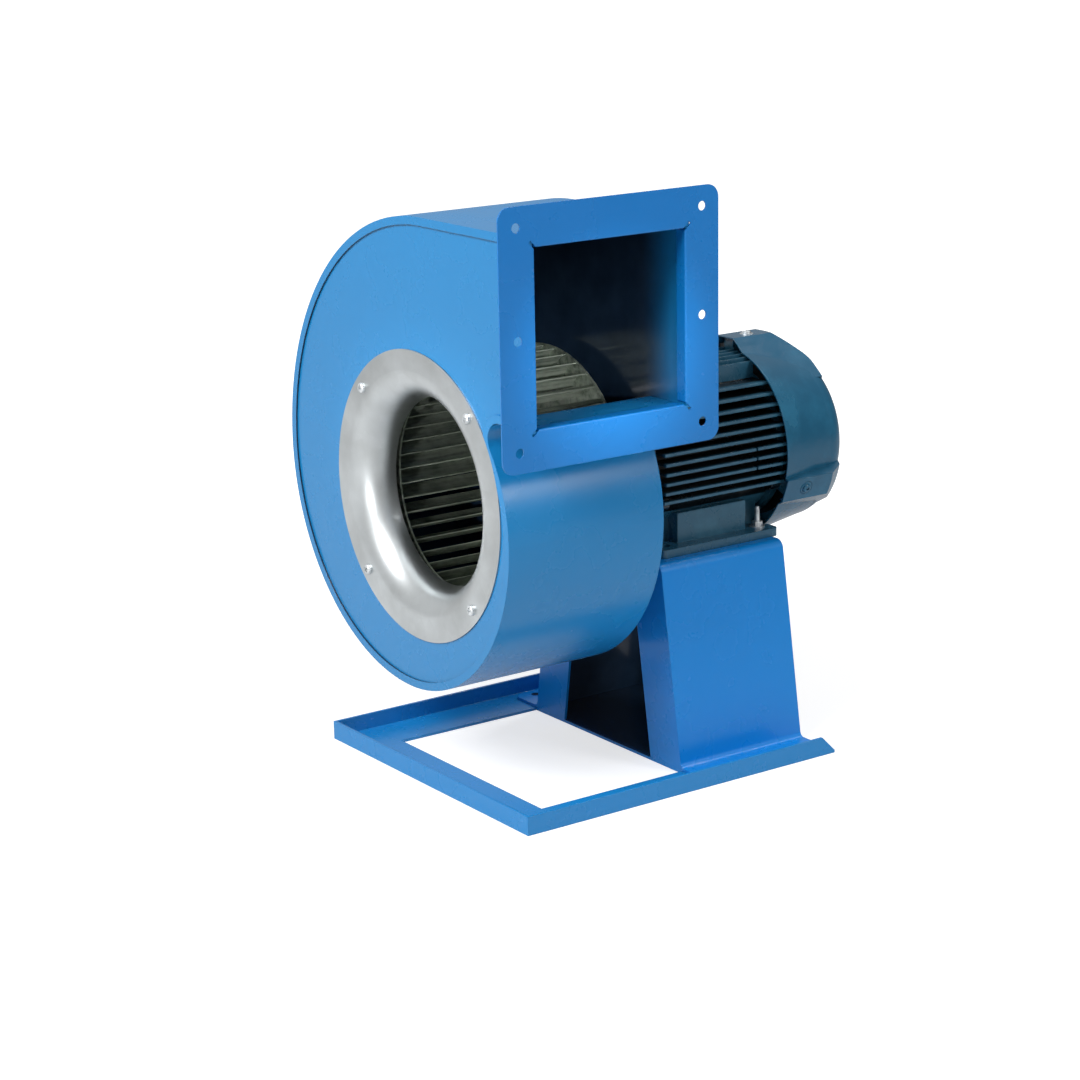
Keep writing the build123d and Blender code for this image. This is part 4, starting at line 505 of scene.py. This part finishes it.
# %% [markdown]
# ## Plastic, rubber and copper
#
# The cooling fan, the gland and the terminal board are moulded black plastic with a fine
# spark-eroded texture. The seal is nitrile rubber. The windings are round copper wires
# under a clear varnish, laid in bundles round the stator's ends. Each wire could be a curve,
# but there are hundreds and the housing hides them, so a noise that is drawn out round the
# shaft stands for them.

# %% Moulded and wound materials
COPPER_SHADED, COPPER_LIT = "#7A3413", "#C06A32"
WIRE_STRETCH = 0.01         # metres of pattern for each radian round the shaft
WIRE_RELIEF = 0.0005


def moulded(name, colour, roughness, grain_mm, grain_depth):
    """A moulded plastic or rubber with a fine mould texture."""
    finish, tree, place = new_finish(name)
    grain = add_node(tree, "ShaderNodeTexNoise",
                     {"Vector": place, "Scale": waves_per_metre(grain_mm), "Detail": 4.0})
    tone = add_node(tree, "ShaderNodeMapRange",
                    {"Value": grain.outputs["Fac"], "To Min": roughness - 0.05,
                     "To Max": roughness + 0.08})
    texture = add_node(tree, "ShaderNodeBump",
                       {"Height": grain.outputs["Fac"], "Distance": grain_depth, "Strength": 0.5})
    plastic = add_node(tree, "ShaderNodeBsdfPrincipled",
                       {"Base Color": linear(colour), "Roughness": tone.outputs["Result"],
                        "IOR": 1.49, "Normal": texture.outputs["Normal"]})
    close_finish(tree, plastic)
    return finish


def wound_copper(name, wire_mm):
    """Varnished copper wire laid round the shaft."""
    finish, tree, place = new_finish(name)
    lay = laid_round_shaft(tree, place, WIRE_STRETCH)
    wires = add_node(tree, "ShaderNodeTexNoise",
                     {"Vector": lay, "Scale": waves_per_metre(wire_mm)})
    tint = add_node(tree, "ShaderNodeMix", {MIX_FACTOR: wires.outputs["Fac"],
                                            MIX_FIRST: linear(COPPER_SHADED),
                                            MIX_SECOND: linear(COPPER_LIT)}, data_type="RGBA")
    strand = add_node(tree, "ShaderNodeBump",
                      {"Height": wires.outputs["Fac"], "Distance": WIRE_RELIEF, "Strength": 0.8})
    varnish = add_node(tree, "ShaderNodeBsdfPrincipled",
                       {"Base Color": tint.outputs[MIX_RESULT], "Metallic": 0.7,
                        "Roughness": 0.35, "Coat Weight": 0.6, "Coat Roughness": 0.1,
                        "Normal": strand.outputs["Normal"]})
    close_finish(tree, varnish)
    return finish


black_plastic = moulded("moulded_black_plastic", "#17181A", 0.45, grain_mm=1.2, grain_depth=0.0001)
nitrile = moulded("nitrile_rubber", "#141414", 0.6, grain_mm=0.8, grain_depth=0.0001)
copper_wire = wound_copper("varnished_copper_wire", wire_mm=1.2)
print("finishes:", black_plastic.name, nitrile.name, copper_wire.name)

# %% [markdown]
# ## Dress the solids
#
# A solid whose shape is right is kept, and only its material is replaced. The materials could
# be set node by node. One table says it all at a glance, and the count that is printed shows
# that nothing keeps the plain colour of the pack.

# %% Give every solid its finish
FINISH_OF = {
    casing_blue: ["front_side_plate", "rear_side_plate", "scroll_wrap"],
    flange_blue: ["discharge_flange"],
    frame_blue: ["base_frame"],
    pedestal_blue: ["pedestal"],
    plate_blue: ["base_plate"],
    cone_zinc: ["inlet_cone"],
    blade_zinc: ["impeller_blades", "impeller_front_ring", "impeller_back_disc"],
    cast_hub: ["impeller_hub"],
    ground_steel: ["motor_shaft", "shaft_key", "front_bearing_inner_ring",
                   "front_bearing_outer_ring", "front_bearing_balls",
                   "rear_bearing_inner_ring", "rear_bearing_outer_ring", "rear_bearing_balls"],
    zinc_plate: ["inlet_cone_screws", "hub_rivets", "shaft_end_washer", "shaft_end_bolt",
                 "flange_bolts", "flange_nuts", "foot_bolts", "foot_washers", "foot_nuts",
                 "terminal_lid_screws", "fan_circlip"],
    fin_enamel: ["motor_housing"],
    cast_enamel: ["drive_end_shield", "rear_end_shield", "motor_adapter", "end_shield_bolts"],
    cowl_enamel: ["fan_cowl", "terminal_box", "terminal_box_lid", "cowl_screws"],
    laminations: ["rotor_core", "stator_core"],
    copper_wire: ["stator_windings"],
    terminal_brass: ["terminal_studs"],
    black_plastic: ["cooling_fan", "cable_gland", "terminal_board"],
    nitrile: ["shaft_seal"],
}

dressed = set()
for finish, names in FINISH_OF.items():
    for name in names:
        mesh = nodes[name].data
        mesh.materials.clear()
        mesh.materials.append(finish)
        dressed.add(name)
print("dressed", len(dressed), "of", len(nodes), "solids; plain:", sorted(set(nodes) - dressed))

# %% [markdown]
# ## Screws with a cross recess
#
# The screws of the inlet cone, of the cowl and of the terminal box are pan-head machine
# screws. A driver's cross recess is the first thing the eye finds on such a head, so the
# plain heads of the solids are replaced. Each screw is a turned shape, and a tapered cross is
# cut from it with a boolean. A subdivided cylinder would also give the dome, but the turned
# profile says exactly how high each ring is. Real screws stop at odd angles, so each one is
# turned by its own amount.

# %% Turning and cutting
def rings_to_solid(mesh, rings):
    """Closes a row of equal rings of points into one solid."""
    count = len(rings[0])
    for lower, upper in zip(rings, rings[1:]):
        for i in range(count):
            k = (i + 1) % count
            mesh.faces.new((lower[i], lower[k], upper[k], upper[i]))
    mesh.faces.new(rings[0][::-1])
    mesh.faces.new(rings[-1])


def add_turned(mesh, profile, sides=28):
    """Adds a solid turned about the Z axis, from pairs of radius and height in mm."""
    rings = []
    for radius, height in profile:
        rings.append([mesh.verts.new(Vector((radius * cos(2 * pi * i / sides),
                                             radius * sin(2 * pi * i / sides),
                                             height)) / 1000)
                      for i in range(sides)])
    rings_to_solid(mesh, rings)


def cut_from(mesh, tool):
    """The first shape less the second."""
    objects = []
    for shape in (mesh, tool):
        data = bpy.data.meshes.new("cutting")
        shape.to_mesh(data)
        shape.free()
        objects.append(bpy.data.objects.new("cutting", data))
        bpy.context.scene.collection.objects.link(objects[-1])
    cut = objects[0].modifiers.new("cut", "BOOLEAN")
    cut.object = objects[1]
    cut.operation = "DIFFERENCE"
    left = objects[0].evaluated_get(bpy.context.evaluated_depsgraph_get())
    result = bmesh.new()
    result.from_mesh(left.to_mesh())
    for item in objects:
        bpy.data.objects.remove(item)
    return result


# %% A pan-head screw
PAN_HEAD = ((1.0, 0.0), (1.0, 0.35), (0.94, 0.62),      # shares of the head's radius and height
            (0.78, 0.84), (0.50, 0.96), (0.16, 1.0))
CROSS_ARM = 0.30            # share of the head's width, middle to tip
CROSS_HALF_WIDTH = 0.065
CROSS_DEPTH = 0.55          # share of the head's height
CROSS_TAPER = 0.6           # the bottom of the cross as a share of its top
CROSS_TOP = 1.1             # a little above the head, so that the cut is clean


def pan_screw(head, height, shank, length):
    """A screw with a cross recess along Z, in mm. Its head sits on Z = 0."""
    screw = bmesh.new()
    add_turned(screw, [(shank / 2, -length), (shank / 2, 0)]
               + [(reach * head / 2, rise * height) for reach, rise in PAN_HEAD])
    arm, half = CROSS_ARM * head / 1000, CROSS_HALF_WIDTH * head / 1000
    outline = [(arm, -half), (arm, half), (half, half), (half, arm), (-half, arm), (-half, half),
               (-arm, half), (-arm, -half), (-half, -half), (-half, -arm), (half, -arm),
               (half, -half)]
    cross = bmesh.new()
    rings = [[cross.verts.new((x * taper, y * taper, level * height / 1000)) for x, y in outline]
             for taper, level in ((CROSS_TAPER, 1 - CROSS_DEPTH), (1.0, CROSS_TOP))]
    rings_to_solid(cross, rings)
    return cut_from(screw, cross)


cone_screw = pan_screw(head=11.0, height=4.0, shank=5.0, length=12.0)
print("faces of one screw:", len(cone_screw.faces))

# %% Placing shapes on the fan
def pointing(origin, direction, turn=0.0):
    """A place at a point whose Z axis points in a direction, turned about that axis."""
    way = Vector(direction).to_track_quat("Z", "Y").to_matrix().to_4x4()
    return Matrix.Translation(Vector(origin)) @ way @ Matrix.Rotation(turn, 4, "Z")


def add_copies(mesh, shape, places, slot=0):
    """Adds a copy of a shape at each place, in one of the piece's finishes."""
    for place in places:
        copied = bpy.data.meshes.new("copied")
        shape.to_mesh(copied)
        copied.transform(place)
        first_new = len(mesh.faces)
        mesh.from_mesh(copied)
        mesh.faces.ensure_lookup_table()
        for face in mesh.faces[first_new:]:
            face.material_index = slot
        bpy.data.meshes.remove(copied)


def new_piece(name, mesh, body, finishes):
    """A piece of the fan made from a bmesh. It rides on a body and has these finishes."""
    data = bpy.data.meshes.new(name)
    mesh.to_mesh(data)
    mesh.free()
    for finish in finishes:
        data.materials.append(finish)
    piece = bpy.data.objects.new(name, data)
    bpy.context.scene.collection.objects.link(piece)
    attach(piece, body)
    print(name + ":", len(data.polygons), "faces")
    return piece


# %% Screws of the inlet cone
CONE_FACE_Y = -0.313
CONE_SCREW_REACH = 0.137
CONE_SCREW_TURNS = (0.35, 1.20, 0.75, 0.10)

cone_screw_places = []
for index, turn in enumerate(CONE_SCREW_TURNS):
    angle = radians(45 + 90 * index)
    origin = (CONE_SCREW_REACH * cos(angle), CONE_FACE_Y,
              SHAFT_HEIGHT + CONE_SCREW_REACH * sin(angle))
    cone_screw_places.append(pointing(origin, (0, -1, 0), turn))
cone_screws = bmesh.new()
add_copies(cone_screws, cone_screw, cone_screw_places)
piece = new_piece("cone_ring_screws", cone_screws, "casing_and_motor", [zinc_plate])
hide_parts("inlet_cone_screws")

# %% Screws of the cowl, the top one left bare
PAINTED, BARE = 0, 1
COWL_SCREW_Y = 0.1165
COWL_SCREW_SEATS = ((-21, 0.1075, PAINTED), (90, 0.1137, BARE), (201, 0.1075, PAINTED))
COWL_WASHER = [(2.7, 0.0), (7.4, 0.0), (7.6, 0.3), (7.4, 0.9), (5.4, 0.9)]

cowl_screw = pan_screw(head=10.5, height=4.0, shank=5.0, length=14.0)
cowl_washer = bmesh.new()
add_turned(cowl_washer, COWL_WASHER)
cowl_screws = bmesh.new()
for degrees, seat, slot in COWL_SCREW_SEATS:
    outward = Vector((cos(radians(degrees)), 0.0, sin(radians(degrees))))
    origin = Vector((0.0, COWL_SCREW_Y, SHAFT_HEIGHT)) + seat * outward
    add_copies(cowl_screws, cowl_screw, [pointing(origin, outward, radians(degrees))], slot)
    add_copies(cowl_screws, cowl_washer, [pointing(origin, outward)], slot)
piece = new_piece("cowl_screws_and_washers", cowl_screws, "casing_and_motor",
                  [cowl_enamel, zinc_plate])
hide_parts("cowl_screws")

# %% Screws of the terminal box
LID_TOP = 0.4445
LID_SCREWS = ((0.038, 0.018), (-0.038, 0.018), (0.038, -0.050), (-0.038, -0.050))
TURN_FOR_X, TURN_FOR_Y = 9, 14          # any numbers that give each screw its own angle

lid_screw = pan_screw(head=8.0, height=2.5, shank=4.0, length=22.0)
lid_screws = bmesh.new()
add_copies(lid_screws, lid_screw,
           [pointing((x, y, LID_TOP), (0, 0, 1), TURN_FOR_X * x + TURN_FOR_Y * y)
            for x, y in LID_SCREWS])
piece = new_piece("terminal_box_screws", lid_screws, "casing_and_motor", [zinc_plate])
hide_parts("terminal_lid_screws")

# %% [markdown]
# ## Threaded foot bolts
#
# Two bolts come up through the pedestal and the motor's rear feet, and show a length of
# thread over each nut. A real thread is a helix. Rings of the same depth look the same at
# this size and close into a clean solid, so the shank is turned with a row of grooves at the
# real pitch of one millimetre.

# %% Foot bolts
BOLT_SEAT_Z = 0.2155        # under the top sheet of the pedestal
FOOT_BOLTS = ((-0.070, 0.0745), (0.070, 0.0745))
BOLT_TOP_MM = 34.5          # over the seat
BOLT_POINT_MM = 0.8
BOLT_HEAD_MM = 3.9
BOLT_CORNER_MM = 5.7        # from the axis to a corner of the hexagon
BOLT_FACE, BOLT_SIDE = 0.86, 0.85       # what the chamfer leaves of the corner and the head
THREAD_RADIUS_MM = 3.0
THREAD_ROOT_MM = 2.5
THREAD_PITCH_MM = 1.0
THREAD_CREST = 0.3          # shares of the pitch where the crest ends and the root lies
THREAD_VALLEY = 0.65

foot_bolt = bmesh.new()
add_turned(foot_bolt, [(BOLT_FACE * BOLT_CORNER_MM, -BOLT_HEAD_MM),
                       (BOLT_CORNER_MM, -BOLT_SIDE * BOLT_HEAD_MM),
                       (BOLT_CORNER_MM, 0.0)], sides=6)
thread = [(THREAD_ROOT_MM, 0.0)]
groove = THREAD_PITCH_MM
while groove + THREAD_PITCH_MM < BOLT_TOP_MM - THREAD_PITCH_MM:
    thread += [(THREAD_RADIUS_MM, groove),
               (THREAD_RADIUS_MM, groove + THREAD_CREST * THREAD_PITCH_MM),
               (THREAD_ROOT_MM, groove + THREAD_VALLEY * THREAD_PITCH_MM)]
    groove += THREAD_PITCH_MM
thread.append((THREAD_RADIUS_MM - BOLT_POINT_MM, BOLT_TOP_MM))
add_turned(foot_bolt, thread)
foot_bolts = bmesh.new()
add_copies(foot_bolts, foot_bolt, [pointing((x, y, BOLT_SEAT_Z), (0, 0, 1))
                                   for x, y in FOOT_BOLTS])
piece = new_piece("foot_bolts_with_thread", foot_bolts, "casing_and_motor", [zinc_plate])
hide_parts("foot_bolts")
print("grooves on each bolt:", (len(thread) - 2) // 3)

# %% [markdown]
# ## Blade tabs on the impeller
#
# Each blade of a light impeller has a tab at either end. The tab is pushed through a slit in
# the ring or the disc and folded flat along the blade's chord, and that holds the blade. The
# solids leave the tabs out, so they are added here as 88 thin bevelled leaves. An array
# modifier could repeat one tab, but the two ends differ. Copies that are placed in a loop
# take both, and join into one piece that turns with the rotor.

# %% Blade tabs
BLADES = 44
RING_FACE_Y, DISC_FACE_Y = -0.2655, -0.1475
TAB_LEAD = radians(-3.3)        # how far round the shaft the first tab lies
TAB_CHORD = radians(-29.1)      # the slope of a blade's chord
TAB_RADIUS_MM = 121.3
TAB_OFFSET_MM = 2.2
TAB_OUTLINE_MM = [(-6.0, -2.4), (6.0, -2.4), (6.0, 1.2), (4.6, 2.4), (-4.6, 2.4), (-6.0, 1.2)]
TAB_LEVELS_MM = ((1.0, 0.0), (1.0, 0.6), (0.88, 1.0))       # share of the outline, and height

tab = bmesh.new()
rings_to_solid(tab, [[tab.verts.new((x * share / 1000, y * share / 1000, level / 1000))
                      for x, y in TAB_OUTLINE_MM]
                     for share, level in TAB_LEVELS_MM])
lead = Matrix.Rotation(-TAB_LEAD, 4, "Y")
seat = Matrix.Translation((TAB_RADIUS_MM / 1000, 0.0, TAB_OFFSET_MM / 1000))
tab_places = []
for index in range(BLADES):
    around = Matrix.Rotation(-2 * pi * index / BLADES, 4, "Y")
    for face_y, facing in ((RING_FACE_Y, pi / 2), (DISC_FACE_Y, -pi / 2)):
        flat = Matrix.Rotation(-TAB_CHORD, 4, "Y") @ Matrix.Rotation(facing, 4, "X")
        tab_places.append(Matrix.Translation((0.0, face_y, SHAFT_HEIGHT))
                          @ around @ lead @ seat @ flat)
tabs = bmesh.new()
add_copies(tabs, tab, tab_places)
new_piece("blade_tabs", tabs, "rotor", [blade_zinc])

# %% [markdown]
# ## Weld beads
#
# The pedestal's feet are joined to the base frame, the frame's front corners are closed, and
# the adapter ring is held to the casing by short runs of weld under the coat. A run of weld
# is a row of solidified ripples about two millimetres apart, thicker in the middle than at
# its ends. A curve with a round bevel would be a plain tube. So each bead is swept along its
# seam from rings whose radius follows those ripples, half sunk into the sheet.

# %% Weld beads
BEAD_SIDES = 8
BEAD_STEP = 0.0007
BEAD_RIPPLE = 0.0021
BEAD_RIPPLE_SHARE = 0.14        # how much thinner a bead is between two ripples
BEAD_END_SHARE = 0.05


def add_bead(mesh, path, radius):
    """Adds a rippled bead along a row of points. Its size wanders a little on the way."""
    rings = []
    last = len(path) - 1
    for index, point in enumerate(path):
        along = (path[min(index + 1, last)] - path[max(index - 1, 0)]).normalized()
        tilt = along.to_track_quat("Z", "Y")
        swell = sqrt(max(BEAD_END_SHARE, 1 - (2 * index / last - 1) ** 8))
        ripple = (1 - BEAD_RIPPLE_SHARE
                  + BEAD_RIPPLE_SHARE * abs(sin(pi * index * BEAD_STEP / BEAD_RIPPLE)))
        wander = 1 + 0.06 * sin(0.37 * index) + 0.05 * sin(0.11 * index + 1.0)
        size = radius * swell * ripple * wander
        rings.append([mesh.verts.new(point + tilt @ Vector((
            size * cos(2 * pi * i / BEAD_SIDES), size * sin(2 * pi * i / BEAD_SIDES), 0.0)))
            for i in range(BEAD_SIDES)])
    rings_to_solid(mesh, rings)


def straight(start, end):
    """Points along a straight seam."""
    start, end = Vector(start), Vector(end)
    count = max(4, int((end - start).length / BEAD_STEP))
    return [start.lerp(end, i / count) for i in range(count + 1)]


def arc_about_shaft(radius, y, first, last):
    """Points along an arc round the shaft's axis, between two angles."""
    count = int(radius * abs(last - first) / BEAD_STEP)
    angles = [first + (last - first) * i / count for i in range(count + 1)]
    return [Vector((radius * cos(a), y, SHAFT_HEIGHT + radius * sin(a))) for a in angles]


print("a bead has a ripple every", 1000 * BEAD_RIPPLE, "mm")

# %% Beads on the base frame
FOOT_EDGE_X, FOOT_SEAM_Z = 0.172, 0.0038
STITCH_STARTS = (-0.074, -0.012, 0.048)
STITCH_LENGTH = 0.026
STITCH_RADIUS = 0.0024
CORNER_X, CORNER_Y = 0.182, -0.3085     # where the upright legs of the frame meet inside
CORNER_LOW, CORNER_HIGH = 0.004, 0.0185
CORNER_RADIUS = 0.0018

frame_beads = bmesh.new()
for side in (-1, 1):
    edge, corner = side * FOOT_EDGE_X, side * CORNER_X
    for start in STITCH_STARTS:
        add_bead(frame_beads, straight((edge, start, FOOT_SEAM_Z),
                                       (edge, start + STITCH_LENGTH, FOOT_SEAM_Z)), STITCH_RADIUS)
    add_bead(frame_beads, straight((corner, CORNER_Y, CORNER_LOW),
                                   (corner, CORNER_Y, CORNER_HIGH)), CORNER_RADIUS)
new_piece("weld_beads_of_frame", frame_beads, "casing_and_motor", [frame_blue])

# %% Beads round the adapter ring
ADAPTER_EDGE = 0.100
ADAPTER_SEAM_Y = -0.1272        # just off the face of the casing's rear plate
STITCHES = 8
FIRST_STITCH = 0.25             # share of the spacing from the X direction
HALF_STITCH = radians(16) / 2
ADAPTER_BEAD_RADIUS = 0.0022

adapter_beads = bmesh.new()
for index in range(STITCHES):
    middle = 2 * pi * (index + FIRST_STITCH) / STITCHES
    add_bead(adapter_beads, arc_about_shaft(ADAPTER_EDGE, ADAPTER_SEAM_Y, middle - HALF_STITCH,
                                            middle + HALF_STITCH), ADAPTER_BEAD_RADIUS)
new_piece("weld_beads_of_adapter", adapter_beads, "casing_and_motor", [cast_enamel])

# %% [markdown]
# ## Floor and surroundings
#
# The photograph is cut out on white. A backdrop could be lit until it is white, but that
# light would also fall on the fan. So a large grey floor glows for the camera, and less near
# the fan, where it keeps a soft shadow. For light and for reflections it glows only a little.
# The world is white to the camera too. Its light is a plain grey, and reflections show a
# studio that is brighter on the side of the front soft box and darker towards the back.

# %% Floor
FLOOR_SIZE = 30.0
FLOOR_GREY = "#BABABA"
GLOW_NEAR, GLOW_FAR = 0.68, 1.0             # what the camera sees
GLOW_STARTS_AT, GLOW_ENDS_AT = 0.5, 1.5     # metres from the origin
GLOW_LIGHT = 0.2                            # what the fan gets
GLOW_REFLECTED = 0.5                        # the most that gloss shows, on the lit side
LIT_SIDE, LIT_SIDE_REACH = (-0.71, -0.71, 0.0), 0.8

floor_mesh = bmesh.new()
bmesh.ops.create_grid(floor_mesh, x_segments=4, y_segments=4, size=FLOOR_SIZE / 2)
floor_data = bpy.data.meshes.new("floor")
floor_mesh.to_mesh(floor_data)
floor_mesh.free()
floor = bpy.data.objects.new("floor", floor_data)
bpy.context.scene.collection.objects.link(floor)

floor_finish, floor_tree, floor_place = new_finish("white_studio_floor")
floor_ray = add_node(floor_tree, "ShaderNodeLightPath")
distance = add_node(floor_tree, "ShaderNodeVectorMath", {0: floor_place}, operation="LENGTH")
seen_glow = add_node(floor_tree, "ShaderNodeMapRange",
                     {"Value": distance.outputs["Value"], "From Min": GLOW_STARTS_AT,
                      "From Max": GLOW_ENDS_AT, "To Min": GLOW_NEAR, "To Max": GLOW_FAR})
lit_side = add_node(floor_tree, "ShaderNodeVectorMath", {0: floor_place, 1: LIT_SIDE},
                    operation="DOT_PRODUCT")
glossy_glow = add_node(floor_tree, "ShaderNodeMapRange",
                       {"Value": lit_side.outputs["Value"], "From Min": -LIT_SIDE_REACH,
                        "From Max": LIT_SIDE_REACH, "To Min": 0.0, "To Max": GLOW_REFLECTED})
plain_glow = add_node(floor_tree, "ShaderNodeMix",
                      {MIX_FACTOR: floor_ray.outputs["Is Glossy Ray"], MIX_NUMBER: GLOW_LIGHT,
                       MIX_NUMBER_TO: glossy_glow.outputs["Result"]})
floor_glow = add_node(floor_tree, "ShaderNodeMix",
                      {MIX_FACTOR: floor_ray.outputs["Is Camera Ray"],
                       MIX_NUMBER: plain_glow.outputs[0],
                       MIX_NUMBER_TO: seen_glow.outputs["Result"]})
floor_shader = add_node(floor_tree, "ShaderNodeBsdfPrincipled",
                        {"Base Color": linear(FLOOR_GREY), "Roughness": 0.9,
                         "Specular IOR Level": 0.0, "Emission Color": linear("#FFFFFF"),
                         "Emission Strength": floor_glow.outputs[0]})
close_finish(floor_tree, floor_shader)
floor_data.materials.append(floor_finish)
print("floor:", FLOOR_SIZE, "m wide")

# %% World
FILL_LIGHT = 0.29
STUDIO_DARK, STUDIO_BRIGHT = 0.12, 0.85
DARK_UP_TO, BRIGHT_FROM = -0.7, 0.8         # cosines of the angle to the bright side
BRIGHT_SIDE = Vector((-0.25, -0.75, 0.60)).normalized()

world = bpy.data.worlds.new("studio")
world.use_nodes = True
bpy.context.scene.world = world
world_tree = world.node_tree
world_tree.nodes.clear()
ray = add_node(world_tree, "ShaderNodeLightPath")
way_out = add_node(world_tree, "ShaderNodeTexCoord").outputs["Generated"]
lean = add_node(world_tree, "ShaderNodeVectorMath", {0: way_out, 1: BRIGHT_SIDE},
                operation="DOT_PRODUCT")
studio = add_node(world_tree, "ShaderNodeMapRange",
                  {"Value": lean.outputs["Value"], "From Min": DARK_UP_TO,
                   "From Max": BRIGHT_FROM, "To Min": STUDIO_DARK, "To Max": STUDIO_BRIGHT},
                  interpolation_type="SMOOTHSTEP")
lit = add_node(world_tree, "ShaderNodeMix",
               {MIX_FACTOR: ray.outputs["Is Glossy Ray"], MIX_NUMBER: FILL_LIGHT,
                MIX_NUMBER_TO: studio.outputs["Result"]})
strength = add_node(world_tree, "ShaderNodeMath",
                    {0: ray.outputs["Is Camera Ray"], 1: lit.outputs[0]}, operation="MAXIMUM")
sky = add_node(world_tree, "ShaderNodeBackground",
               {"Color": (1.0, 1.0, 1.0, 1.0), "Strength": strength.outputs[0]})
add_node(world_tree, "ShaderNodeOutputWorld", {"Surface": sky.outputs[0]})
bpy.context.scene.view_settings.view_transform = "Standard"
print("world: fill light", FILL_LIGHT)

# %% [markdown]
# ## Lamps
#
# A wide soft box in front and above gives the casing its even light, one on the right lights
# the discharge and the pedestal's side, and a small one behind draws the edges of the cowl
# and the scroll's top. The hollows would stay black, because that light hardly gets in. More
# of it would bleach the outside, so two narrow lamps with snoots shine only through the
# inlet and through the discharge, on to the blades.

# %% Soft boxes
FAN_MIDDLE = Vector((0.0, -0.08, 0.30))
SOFT_BOX_DISTANCE = 3.0
SOFT_BOXES = (              # name, direction from the fan, width, height and watts
    ("front_soft_box", (0.12, -0.72, 0.65), 1.5, 1.1, 95.0),
    ("right_soft_box", (0.80, 0.35, 0.45), 0.7, 1.3, 31.0),
    ("back_soft_box", (-0.05, 0.55, 0.83), 0.6, 0.4, 24.0),
)


def place_lamp(name, lamp, target, direction, distance):
    """Stands a lamp at a distance in a direction from its target and turns it there."""
    rig = bpy.data.objects.new(name, lamp)
    way = Vector(direction).normalized()
    rig.location = target + distance * way
    rig.rotation_euler = way.to_track_quat("Z", "Y").to_euler()
    bpy.context.scene.collection.objects.link(rig)


for name, direction, width, height, power in SOFT_BOXES:
    lamp = bpy.data.lights.new(name, "AREA")
    lamp.shape = "RECTANGLE"
    lamp.size = width
    lamp.size_y = height
    lamp.energy = power
    place_lamp(name, lamp, FAN_MIDDLE, direction, SOFT_BOX_DISTANCE)
print("soft boxes:", len(SOFT_BOXES))

# %% Lamps with snoots
SNOOT_DISTANCE = 2.5
SNOOT_BLEND = 0.5
SNOOT_LAMP_RADIUS = 0.08
SNOOTED_LAMPS = (           # name, target, direction from it, angle of the beam and watts
    ("snooted_inlet_lamp", (0.0, -0.29, SHAFT_HEIGHT + 0.035), (0.52, -0.84, 0.10),
     radians(4.8), 250.0),
    ("snooted_duct_lamp", (0.08, -0.19, 0.448), (0.97, -0.20, 0.16), radians(3.1), 650.0),
)

for name, target, direction, angle, power in SNOOTED_LAMPS:
    lamp = bpy.data.lights.new(name, "SPOT")
    lamp.spot_size = angle
    lamp.spot_blend = SNOOT_BLEND
    lamp.shadow_soft_size = SNOOT_LAMP_RADIUS
    lamp.energy = power
    place_lamp(name, lamp, Vector(target), direction, SNOOT_DISTANCE)
print("lamps with snoots:", len(SNOOTED_LAMPS))
